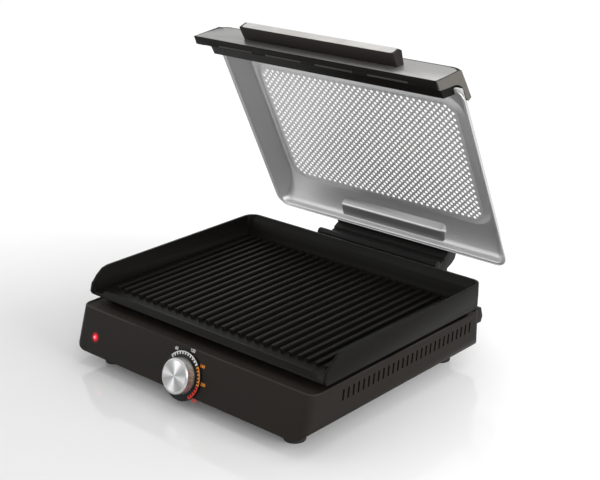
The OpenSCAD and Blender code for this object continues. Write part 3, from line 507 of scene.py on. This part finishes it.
# ---- mesh helpers ----
def finished(bm, name, body, finish, place=None, replaces=(), sharp=38.0):
    """Makes a piece from a bmesh: in place, smooth up to an angle, riding on its body."""
    if place is not None:
        bm.transform(place)
    mesh = bpy.data.meshes.new(name)
    bm.to_mesh(mesh)
    bm.free()
    mesh.shade_smooth()
    mesh.set_sharp_from_angle(angle=math.radians(sharp))
    piece = bpy.data.objects.new(name, mesh)
    bpy.context.scene.collection.objects.link(piece)
    mesh.materials.append(finish.material)
    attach(piece, body)
    if replaces:
        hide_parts(*replaces)
    return piece


def merged(node):
    """A merged copy of a CAD node, its flat faces whole again."""
    bm = bmesh.new()
    bm.from_mesh(NODES[node].data)
    bmesh.ops.remove_doubles(bm, verts=bm.verts, dist=2e-6)
    bmesh.ops.dissolve_degenerate(bm, dist=1e-6, edges=bm.edges)
    bmesh.ops.dissolve_limit(
        bm, angle_limit=math.radians(0.5), verts=bm.verts, edges=bm.edges, use_dissolve_boundaries=False
    )
    return bm


def rounded(bm, edges, offset, segments=2):
    """Rounds edges and marks them for a paler edge colour: rub marks and a painted highlight."""
    wear_and_sheen = bm.verts.layers.float.get("wear_and_sheen") or bm.verts.layers.float.new("wear_and_sheen")
    made = bmesh.ops.bevel(
        bm,
        geom=edges,
        offset=offset,
        offset_type="OFFSET",
        segments=segments,
        profile=0.5,
        affect="EDGES",
        clamp_overlap=True,
        material=-1,
    )
    strip = set(made["faces"])
    for vertex in made["verts"]:
        if all(face in strip for face in vertex.link_faces):
            vertex[wear_and_sheen] = 1.0


def sharp_edges(bm, angle=30.0):
    """Edges of some length whose two faces meet at more than an angle, in degrees."""
    limit = math.radians(angle)
    return [
        edge
        for edge in bm.edges
        if len(edge.link_faces) == 2
        and edge.calc_face_angle(0.0) > limit
        and edge.calc_length() > 0
    ]


def softened(node, name, body, finish, offset):
    """A CAD node with its edges rounded, standing for that node."""
    bm = merged(node)
    rounded(bm, sharp_edges(bm), offset)
    return finished(bm, name, body, finish, replaces=[node])


def round_loop(bm, half, near, far, radius, level, steps=7):
    """Vertices round a rectangle with round corners."""
    corners = (
        (half - radius, far - radius),
        (radius - half, far - radius),
        (radius - half, near + radius),
        (half - radius, near + radius),
    )
    verts = []
    for quarter, (x, y) in enumerate(corners):
        for step in range(steps + 1):
            turn = (quarter + step / steps) * math.pi / 2
            spot = (x + radius * math.cos(turn), y + radius * math.sin(turn), level)
            verts.append(bm.verts.new(spot))
    return verts


def joined(bm, outer, inner):
    """A skin between two loops of equal count."""
    for index, vertex in enumerate(outer):
        other = (index + 1) % len(outer)
        bm.faces.new((vertex, outer[other], inner[other], inner[index]))


def loop_edges(bm, loop):
    """The edges of a closed loop of vertices."""
    return [bm.edges.get(pair) for pair in zip(loop, loop[1:] + loop[:1])]


def spun_profile(bm, profile, steps):
    """Turns an outline of (radius, height) points round Z into a closed skin."""
    verts = [bm.verts.new((reach, 0, height)) for reach, height in profile]
    edges = [bm.edges.new(pair) for pair in zip(verts, verts[1:])]
    bmesh.ops.spin(
        bm,
        geom=verts + edges,
        cent=(0, 0, 0),
        axis=(0, 0, 1),
        angle=2 * math.pi,
        steps=steps,
        use_merge=True,
    )
    bmesh.ops.remove_doubles(bm, verts=bm.verts, dist=1e-6)
    bmesh.ops.recalc_face_normals(bm, faces=bm.faces)


# ---- operators ----
class Dressing(bpy.types.Operator):
    """Shared ground of the dressing operators."""

    bl_options = {"REGISTER", "UNDO"}

    def execute(self, context):
        self.make(context)
        return {"FINISHED"}


class GRILL_OT_base(Dressing):
    """Housing, feet, supports and the plain parts under them"""

    bl_idname = "grill.base"
    bl_label = "Base housing"

    # The vents' edges are no longer than this and stay sharp.
    VENT_EDGE = 14.5 * MM

    def make(self, context):
        tones = colours()
        edge = sizes().edge_round
        black = moulded("black_moulding", tones.black, tones.housing, 0.5)
        rail = moulded("rail_moulding", tones.housing, tones.housing_edge_rub_sheen, 0.5)
        self.shell(housing_finish())
        softened("hinge_rail", "rear_rail", "base", rail, edge)
        softened("feet", "foot_cups", "base", black, edge)
        rubber = plain("foot_rubber", (0.02, 0.02, 0.02), 0.75)
        softened("foot_pads", "foot_soles", "base", rubber, edge)
        softened("plate_supports", "support_blocks", "base", black, edge / 2)
        softened("bottom_cover", "under_cover", "base", black, edge / 2)
        softened("cord_gland", "cord_grommet", "base", rubber, edge / 2)

    def shell(self, finish):
        """The housing: a soft shoulder under the rim, slight rounding along its long edges."""
        s = sizes()
        bm = merged("base_housing")
        rim = max(vertex.co.z for vertex in bm.verts)
        edges = sharp_edges(bm)
        top = [edge for edge in edges if min(vertex.co.z for vertex in edge.verts) > rim - NEAR]
        rest = [edge for edge in edges if edge.calc_length() > self.VENT_EDGE and edge not in top]
        rounded(bm, rest, s.edge_round)
        rounded(bm, [edge for edge in top if edge.is_valid], s.rim_round, 3)
        finished(bm, "base_shell", "base", finish, replaces=["base_housing"])


class GRILL_OT_plate(Dressing):
    """Cooking plate with its ribs"""

    bl_idname = "grill.plate"
    bl_label = "Cooking plate"

    def make(self, context):
        tones = colours()
        finish = coated("plate_coating", tones.plate, tones.plate_edge_rub_sheen)
        softened("cooking_plate", "ribbed_plate", "base", finish, sizes().plate_round)


class GRILL_OT_lid(Dressing):
    """Pressed lid shell with its hinge recess, and the perforated field"""

    bl_idname = "grill.lid"
    bl_label = "Lid"

    # Scale of the sheet's grain along X, Y and Z: it runs from side to side.
    GRAIN = (60, 2600, 2600)
    # Heights of the loops up the side slopes, as shares of the pan's depth.
    SIDE_SHARES = (0, 0.1, 0.22, 0.35, 0.48, 0.6, 0.71, 0.81, 0.89)
    # Section of the recess, mm: its two faces with rounded ridges, and its seat in the sheet.
    RECESS_FRONT = (
        (4.4, 9.4),
        (19.4, 12.15),
        (21.0, 12.7),
        (22.1, 13.6),
        (22.9, 14.6),
        (27.5, 21.7),
        (28.3, 23.3),
        (28.7, 24.4),
    )
    RECESS_RIDGES = (2, 3, 6, 7)
    RECESS_BACK = ((29.5, 25.0), (16.0, 18.6), (3.4, 11.6))
    NOSE_STEPS = 8
    # Share of its height that the recess keeps at its ends.
    FLAT = 0.05

    def make(self, context):
        tones = colours()
        steel = brushed("lid_satin", tones.steel, 0.37, self.GRAIN, 0.1, metallic=0.6)
        panel = brushed("panel_satin", tones.panel, 0.42, self.GRAIN, 0.08, metallic=0.4)
        self.shell(steel)
        # The hinge recess is a darker copy of the sheet's steel, a painted shade, and its ridges get a
        # painted highlight.
        painted_shade_steel = [channel * 0.55 for channel in tones.steel]
        rubbed_and_sheen = [min(1.0, channel * 1.35) for channel in tones.steel]
        self.recess(brushed("recess_shaded_satin", painted_shade_steel, 0.37, self.GRAIN, 0.1, 0.00002, 0.7, rubbed_and_sheen))
        dress("perforated_panel", panel)

    def shell(self, steel):
        """The pressed sheet: a flange, sloping sides, an arched rear wall and the field's border."""
        s = sizes()
        top = PAN_HIGH.z
        half = PAN_HIGH.x
        depth = PAN_HIGH.y
        drop = s.rear_radius - top
        start = s.rim_height

        def rear(level):
            return s.rear_centre - math.sqrt(s.rear_radius**2 - (level + drop) ** 2)

        def rear_level(y):
            return math.sqrt(s.rear_radius**2 - (s.rear_centre - y) ** 2) - drop

        bm = bmesh.new()
        loops = [
            round_loop(bm, half, 0, depth, s.pan_corner, 0),
            round_loop(bm, half, 0, depth, s.pan_corner, start),
        ]
        flange = s.flange
        for share in self.SIDE_SHARES:
            level = start + (top - start) * share
            run = flange + (s.pan_run - flange) * share
            front = flange + (s.pan_front_run - flange) * share
            near = max(flange, rear(level))
            corner = s.pan_corner - flange + (s.top_corner - s.pan_corner) * share
            loops.append(round_loop(bm, half - run, near, depth - front, corner, level))
        slope = s.field_slope
        left, near, far = FIELD_HIGH.x, FIELD_LOW.y, FIELD_HIGH.y
        brow = near - slope - s.brow
        loops.append(
            round_loop(bm, half - s.pan_run, brow, depth - s.pan_front_run, s.top_corner, top)
        )
        crest = len(loops)
        loops.append(
            round_loop(bm, left + slope, near - slope, far + slope, s.field_corner + slope, top)
        )
        tuck = s.field_tuck
        border = round_loop(
            bm, left - tuck, near + tuck, far - tuck, s.field_corner - tuck, FIELD_HIGH.z
        )
        loops.append(border)
        for outer, inner in zip(loops, loops[1:]):
            joined(bm, outer, inner)
        for vertex in bm.verts:
            if vertex.co.z > FIELD_HIGH.z + tuck and vertex.co.y < s.rear_centre:
                vertex.co.z = min(vertex.co.z, rear_level(vertex.co.y))
        soft = loop_edges(bm, loops[crest]) + loop_edges(bm, loops[2])
        # The rounded bends are also marked a little brighter in the steel: a painted crease highlight.
        rounded(bm, soft, s.press_round / 2, 3)
        bmesh.ops.recalc_face_normals(bm, faces=bm.faces)
        if sum(face.normal.z * face.calc_area() for face in bm.faces) < 0:
            bmesh.ops.reverse_faces(bm, faces=bm.faces)
        sharp = math.degrees(SHEET_ANGLE)
        shell = finished(bm, "lid_shell", "lid", steel, LID, ["lid_pan"], sharp)
        wall = shell.modifiers.new("wall", "SOLIDIFY")
        wall.thickness = s.sheet
        wall.offset = -1.0
        wall.use_even_offset = True
        roll = shell.modifiers.new("roll", "BEVEL")
        roll.width = s.edge_roll
        roll.segments = 2
        roll.limit_method = "ANGLE"
        roll.angle_limit = SHEET_ANGLE

    def recess(self, steel):
        """The raised recess inside the rear wall, which takes the hinge block."""
        s = sizes()
        foot = Vector(self.RECESS_BACK[-1]) * MM
        along = (Vector(self.RECESS_BACK[0]) * MM - foot).normalized()
        low = -s.bulge_half - HINGE_SHIFT
        high = s.bulge_half - HINGE_SHIFT
        turns = [step * math.pi / 2 / self.NOSE_STEPS for step in range(self.NOSE_STEPS + 1)]
        stations = [
            (low + s.nose * (1 - math.cos(turn)), max(self.FLAT, math.sin(turn))) for turn in turns
        ]
        stations += [(high - s.recess_draft, 1.0), (high, self.FLAT)]
        bm = bmesh.new()
        wear_and_sheen = bm.verts.layers.float.new("wear_and_sheen")
        loops = []
        for x, share in stations:
            loop = []
            for spot in self.RECESS_FRONT:
                point = Vector(spot) * MM
                seat = foot + along * (point - foot).dot(along)
                loop.append(seat.lerp(point, share))
            loop += [Vector(spot) * MM for spot in self.RECESS_BACK]
            loops.append([bm.verts.new((x, y, z)) for y, z in loop])
            # The recess's ridges are marked for a painted highlight.
            for index in self.RECESS_RIDGES:
                loops[-1][index][wear_and_sheen] = 1.0
        for first, second in zip(loops, loops[1:]):
            joined(bm, first, second)
        bm.faces.new(loops[0])
        bm.faces.new(loops[-1])
        bmesh.ops.recalc_face_normals(bm, faces=bm.faces)
        finished(bm, "hinge_recess", "lid", steel, LID, sharp=50.0)


class GRILL_OT_hinge(Dressing):
    """Hinge block"""

    bl_idname = "grill.hinge"
    bl_label = "Hinge"

    def make(self, context):
        tones = colours()
        black = moulded("hinge_moulding", tones.black, tones.housing, 0.42)
        softened("hinge_block", "hinge_saddle", "lid", black, sizes().trim_round)


class GRILL_OT_trim(Dressing):
    """Front trim with its brushed plate, rest strips, handle and light strip"""

    bl_idname = "grill.trim"
    bl_label = "Trim and handle"

    # The handle's corners are longer than this.
    SHORT_EDGE = 9 * MM

    def make(self, context):
        tones = colours()
        s = sizes()
        softened("front_trim", "lid_trim", "lid", trim_finish(), s.trim_round)
        graphite = brushed("graphite_plate", tones.graphite, 0.34, (40, 3000, 3000), 0.1, metallic=0.75)
        softened("trim_plate", "fascia_plate", "lid", graphite, s.sheet_round)
        handle = moulded("handle_moulding", tones.handle, tones.trim, 0.4)
        self.handle(handle)
        satin = plain("strip_satin", tones.strip, 0.35, 0.0, 0.5, 0.3)
        softened("handle_strip", "handle_inlay", "lid", satin, s.fine_round)
        rest = plain("rest_silicone", (0.035, 0.032, 0.029), 0.6)
        softened("rest_strips", "rest_pads", "lid", rest, s.fine_round)

    def handle(self, finish):
        """The handle bar: wide rounding down the ends, slight rounding elsewhere."""
        s = sizes()
        bm = merged("handle_bar")
        end = max(vertex.co.x for vertex in bm.verts)
        inverse = LID.inverted()

        def upright(edge):
            if min(abs(vertex.co.x) for vertex in edge.verts) < end - NEAR:
                return False
            first, second = (inverse @ vertex.co for vertex in edge.verts)
            return abs(first.y - second.y) > 2 * abs(first.z - second.z)

        corners = [edge for edge in sharp_edges(bm) if upright(edge)]
        corners = [edge for edge in corners if edge.calc_length() > self.SHORT_EDGE]
        rounded(bm, corners, s.handle_round, 6)
        rounded(bm, sharp_edges(bm, 40.0), s.trim_round / 2)
        finished(bm, "lid_handle", "lid", finish, replaces=["handle_bar"])


class GRILL_OT_dial(Dressing):
    """Dial disc with its printed scale and numbers, and the lamp"""

    bl_idname = "grill.dial"
    bl_label = "Dial and lamp"

    # Start and end of each band, in degrees from the right, and its teeth.
    WHITE = (140.0, 42.0, 11)
    ORANGE = (38.0, -10.0, 6)
    RED = (-13.0, -54.0, 5)
    # Degrees from one point of an arc to the next.
    STEP_ANGLE = 4
    # Where the lens starts to curve, above the panel, and the steps of its shape.
    LENS_FOOT = 0.3 * MM
    DOME_STEPS = 6
    LENS_STEPS = 32
    # The numbers beside each band, with their angles.
    NUMBERS = {
        "scale_low": (("60", 123.0), ("120", 76.0)),
        "scale_middle": (("160", 35.0), ("200", -2.0)),
        "scale_high": (("230", -44.0),),
    }

    def make(self, context):
        tones = colours()
        gloss = plain("dial_gloss", (0.006, 0.007, 0.0065), 0.3, 0.0, 0.2)
        softened("dial_disc", "dial_plate", "base", gloss, sizes().dial_round)
        bands = (
            ("scale_low", self.WHITE, tones.print_white),
            ("scale_middle", self.ORANGE, tones.print_orange),
            ("scale_high", self.RED, tones.print_red),
        )
        for name, (start, end, teeth), tone in bands:
            bm = bmesh.new()
            self.arc(bm, start, end, teeth)
            for words, turn in self.NUMBERS[name]:
                self.number(bm, words, turn)
            ink = plain(name + "_ink", tone, 0.5)
            finished(bm, name, "base", ink, PANEL)
        self.lamp(glowing("lamp_red", tones.lamp, 1.6))

    def arc(self, bm, start, end, teeth):
        """A thin printed arc with teeth on its inner side."""
        s = sizes()
        level = DIAL_HIGH.z + s.print_lift
        band = s.scale_outer - s.scale_band
        self.sector(bm, band, s.scale_outer, start, end, level)
        step = (end - start) / (2 * teeth - 1)
        for index in range(teeth):
            low = start + 2 * index * step
            self.sector(bm, s.scale_inner, band + s.tooth_overlap, low, low + step, level)

    def sector(self, bm, inner, outer, start, end, level):
        """A raised sector of a ring: an edge that is spun, then thickened."""
        s = sizes()
        turn = math.radians(start)
        way = Vector((math.cos(turn), math.sin(turn), 0))
        lift = Vector((0, 0, level))
        first = bm.verts.new(way * inner + lift)
        second = bm.verts.new(way * outer + lift)
        edge = bm.edges.new((first, second))
        steps = max(2, int(abs(end - start) / self.STEP_ANGLE))
        before = set(bm.faces)
        bmesh.ops.spin(
            bm,
            geom=[first, second, edge],
            cent=(0, 0, 0),
            axis=(0, 0, 1),
            angle=math.radians(end - start),
            steps=steps,
        )
        faces = [face for face in bm.faces if face not in before]
        bmesh.ops.recalc_face_normals(bm, faces=faces)
        if faces[0].normal.z > 0:
            bmesh.ops.reverse_faces(bm, faces=faces)
        grown = bmesh.ops.extrude_face_region(bm, geom=faces)
        verts = [item for item in grown["geom"] if isinstance(item, bmesh.types.BMVert)]
        bmesh.ops.translate(bm, verts=verts, vec=(0, 0, s.print_height))
        made = [face for face in bm.faces if face not in before]
        bmesh.ops.recalc_face_normals(bm, faces=made)

    def number(self, bm, words, turn):
        """A plain number printed on the panel beside the dial."""
        s = sizes()
        curve = bpy.data.curves.new("number", "FONT")
        curve.body = words
        curve.size = s.number_height
        curve.offset = s.number_bold
        curve.extrude = s.print_height / 2
        curve.align_x = "CENTER"
        curve.align_y = "CENTER"
        curve.resolution_u = 3
        text = bpy.data.objects.new("number", curve)
        bpy.context.scene.collection.objects.link(text)
        bpy.context.view_layer.update()
        mesh = bpy.data.meshes.new_from_object(text.evaluated_get(bpy.context.evaluated_depsgraph_get()))
        bpy.data.objects.remove(text)
        angle = math.radians(turn)
        spot = Vector((math.cos(angle), math.sin(angle), 0)) * s.number_radius
        spot.z = s.print_height / 2 + s.print_lift
        mesh.transform(Matrix.Translation(spot))
        bm.from_mesh(mesh)
        bpy.data.meshes.remove(mesh)

    def lamp(self, red):
        """The lens: a short cylinder with a domed top."""
        radius = LENS_HIGH.x - LENS_CENTRE.x
        foot = self.LENS_FOOT
        profile = [(0, LENS_LOW.z), (radius, LENS_LOW.z), (radius, foot)]
        for step in range(1, self.DOME_STEPS + 1):
            turn = step / self.DOME_STEPS * math.pi / 2
            rise = (LENS_HIGH.z - foot) * math.sin(turn)
            profile.append((radius * math.cos(turn), foot + rise))
        bm = bmesh.new()
        spun_profile(bm, profile, self.LENS_STEPS)
        finished(bm, "lamp_dome", "base", red, LENS, ["lamp_lens"])


class GRILL_OT_knob(Dressing):
    """Turned knob with its spun face and pointer notch"""

    bl_idname = "grill.knob"
    bl_label = "Knob"

    # Half section: from the bore out over the skirt, then up to the rim and into the seat.
    BORE = 3.4 * MM
    SKIRT = KNOB_HIGH.x
    BODY = SKIRT - 0.5 * MM
    SEAT = BODY - 2.9 * MM
    # Radius, and height above the knob's foot.
    FOOT = (
        (BORE, 0),
        (SKIRT - 0.3 * MM, 0),
        (SKIRT, 0.3 * MM),
        (SKIRT, 0.9 * MM),
        (BODY, 3.0 * MM),
    )
    # Radius, and depth below the knob's rim.
    HEAD = (
        (BODY, 1.7 * MM),
        (BODY - 0.25 * MM, 1.3 * MM),
        (BODY - 1.4 * MM, 0.15 * MM),
        (BODY - 1.7 * MM, 0),
        (SEAT, 0),
        (SEAT, 3.0 * MM),
        (BORE, 3.0 * MM),
    )

    def make(self, context):
        tones = colours()
        chrome = plain("knob_chrome", tones.chrome, 0.27, 0.85)
        face = turned("knob_turned", tones.aluminium)
        outline = [(radius, KNOB_LOW.z + height) for radius, height in self.FOOT]
        outline += [(radius, KNOB_HIGH.z - depth) for radius, depth in self.HEAD]
        bm = bmesh.new()
        spun_profile(bm, outline + outline[:1], sizes().spin_steps)
        finished(bm, "knob_shell", "knob", chrome, PANEL, ["knob_body"], 30.0)
        softened("knob_cap", "knob_face", "knob", face, sizes().cap_round)


def dress(node, finish):
    """Gives a CAD node that is shown as it is its finish."""
    mesh = NODES[node].data
    mesh.materials.clear()
    mesh.materials.append(finish.material)


class GRILL_OT_inside(Dressing):
    """Finishes of the heater, the wiring and the fasteners"""

    bl_idname = "grill.inside"
    bl_label = "Heater and fasteners"

    def make(self, context):
        zinc = plain("zinc_plating", (0.5, 0.5, 0.48), 0.35, 1.0)
        steel = plain("plain_steel", (0.45, 0.45, 0.44), 0.4, 1.0)
        tray = plain("bright_sheet", (0.7, 0.7, 0.69), 0.3, 1.0)
        sheath = plain("dark_sheath", (0.12, 0.1, 0.09), 0.5, 0.8)
        stone = plain("steatite", (0.7, 0.67, 0.6), 0.7)
        brass = plain("plated_brass", (0.7, 0.55, 0.3), 0.35, 1.0)
        nylon = plain("nylon", (0.68, 0.68, 0.62), 0.5)
        red = plain("wire_sleeve", (0.35, 0.05, 0.04), 0.55)
        groups = (
            (zinc, ("cover_screws", "foot_screws", "hinge_pins", "thermostat_bracket")),
            (zinc, ("hinge_block_screws", "handle_screws")),
            (steel, ("element_clips", "terminal_plate", "thermostat_shaft")),
            (tray, ("reflector_tray",)),
            (sheath, ("heating_element",)),
            (stone, ("thermal_cutout", "thermostat_body")),
            (brass, ("terminal_tabs",)),
            (nylon, ("lamp_holder", "terminal_block")),
            (red, ("wiring",)),
        )
        for finish, nodes in groups:
            for node in nodes:
                dress(node, finish)


class GRILL_OT_stage(Dressing):
    """Floor, light and camera"""

    bl_idname = "grill.stage"
    bl_label = "Stage"

    # The floor glows for the camera, and less round a spot in front of the grill: a painted shadow.
    FLOOR_LIGHT = 0.36
    SHADE_SPOT = (-0.1, -0.3)
    SHADE_NEAR = 0.15
    SHADE_FAR = 0.9

    def make(self, context):
        scene = context.scene
        scene.view_settings.view_transform = "Standard"
        self.surroundings(scene)
        self.floor()
        self.lamp("key_light", (1.5, -1.6, 1.3), 1.4, 12.0)
        self.lamp("fill_light", (-1.6, -1.4, 1.0), 1.4, 4.0)
        self.lamp("side_light", (2.0, 0.2, 0.9), 1.2, 20.0)
        self.lamp("top_light", (0.0, 0.9, 2.2), 1.6, 12.0)
        self.camera(scene)

    def surroundings(self, scene):
        world = bpy.data.worlds.new("studio")
        scene.world = world
        world.use_nodes = True
        tree = world.node_tree
        background = tree.nodes["Background"]
        background.inputs["Color"].default_value = (1, 1, 1, 1)
        path = tree.nodes.new("ShaderNodeLightPath")
        seen = None
        for name in ("Is Camera Ray", "Is Glossy Ray", "Is Transmission Ray"):
            if seen is None:
                seen = path.outputs[name]
                continue
            either = tree.nodes.new("ShaderNodeMath")
            either.operation = "MAXIMUM"
            tree.links.new(seen, either.inputs[0])
            tree.links.new(path.outputs[name], either.inputs[1])
            seen = either.outputs[0]
        level = tree.nodes.new("ShaderNodeMapRange")
        level.inputs["To Min"].default_value = scene.grill_stage.ambient
        level.inputs["To Max"].default_value = scene.grill_stage.mirrored
        tree.links.new(seen, level.inputs["Value"])
        tree.links.new(level.outputs[0], background.inputs["Strength"])

    def floor(self):
        bm = bmesh.new()
        bmesh.ops.create_grid(bm, x_segments=1, y_segments=1, size=6.0)
        mesh = bpy.data.meshes.new("floor")
        bm.to_mesh(mesh)
        bm.free()
        floor = bpy.data.objects.new("floor", mesh)
        bpy.context.scene.collection.objects.link(floor)
        finish = Finish("floor_gloss", roughness=0.09, specular_ior_level=0.5)
        finish.feed("Base Color", (0.9, 0.9, 0.9))
        path = finish.add("ShaderNodeLightPath", output="Is Camera Ray")
        x, y, _ = finish.parts(finish.place)
        reach = finish.reach(x - self.SHADE_SPOT[0], y - self.SHADE_SPOT[1])
        # The floor's glow is dimmer near the spot: a painted shadow.
        outside_painted_shadow = finish.ramp(reach, self.SHADE_NEAR, self.SHADE_FAR)
        finish.feed("Emission Color", finish.blend(outside_painted_shadow, (0.1, 0.1, 0.1), (1, 1, 1)))
        finish.feed("Emission Strength", path * self.FLOOR_LIGHT)
        mesh.materials.append(finish.material)

    def lamp(self, name, spot, width, power):
        light = bpy.data.lights.new(name, "AREA")
        light.shape = "SQUARE"
        light.size = width
        light.energy = power
        lamp = bpy.data.objects.new(name, light)
        bpy.context.scene.collection.objects.link(lamp)
        lamp.location = spot
        aim = Vector((0, 0, 0.12)) - lamp.location
        lamp.rotation_mode = "QUATERNION"
        lamp.rotation_quaternion = aim.to_track_quat("-Z", "Y")

    def camera(self, scene):
        stage = scene.grill_stage
        lens = bpy.data.cameras.new("view")
        lens.lens = stage.lens
        lens.sensor_width = 36.0
        lens.clip_end = 30.0
        camera = bpy.data.objects.new("view", lens)
        scene.collection.objects.link(camera)
        camera.location = stage.camera
        turn = (
            Matrix.Rotation(stage.azimuth, 3, "Z")
            @ Matrix.Rotation(math.pi / 2 - stage.elevation, 3, "X")
            @ Matrix.Rotation(stage.roll, 3, "Z")
        )
        camera.rotation_mode = "QUATERNION"
        camera.rotation_quaternion = turn.to_quaternion()
        scene.camera = camera


class GRILL_PT_panel(bpy.types.Panel):
    """Lists the dressing operators"""

    bl_idname = "GRILL_PT_panel"
    bl_label = "Indoor grill"
    bl_space_type = "VIEW_3D"
    bl_region_type = "UI"
    bl_category = "Grill"

    def draw(self, context):
        for operator in OPERATORS:
            self.layout.operator(operator.bl_idname)


GROUPS = (GrillSizes, GrillColours, GrillStage)
OPERATORS = (
    GRILL_OT_stage,
    GRILL_OT_base,
    GRILL_OT_plate,
    GRILL_OT_lid,
    GRILL_OT_hinge,
    GRILL_OT_trim,
    GRILL_OT_dial,
    GRILL_OT_knob,
    GRILL_OT_inside,
)


def register():
    for group in (*GROUPS, *OPERATORS, GRILL_PT_panel):
        bpy.utils.register_class(group)
    bpy.types.Scene.grill_sizes = PointerProperty(type=GrillSizes)
    bpy.types.Scene.grill_colours = PointerProperty(type=GrillColours)
    bpy.types.Scene.grill_stage = PointerProperty(type=GrillStage)


def unregister():
    del bpy.types.Scene.grill_stage
    del bpy.types.Scene.grill_colours
    del bpy.types.Scene.grill_sizes
    for group in reversed((*GROUPS, *OPERATORS, GRILL_PT_panel)):
        bpy.utils.unregister_class(group)


def main():
    register()
    bpy.ops.grill.stage()
    bpy.ops.grill.base()
    bpy.ops.grill.plate()
    bpy.ops.grill.lid()
    bpy.ops.grill.hinge()
    bpy.ops.grill.trim()
    bpy.ops.grill.dial()
    bpy.ops.grill.knob()
    bpy.ops.grill.inside()


if __name__ == "__main__":
    main()
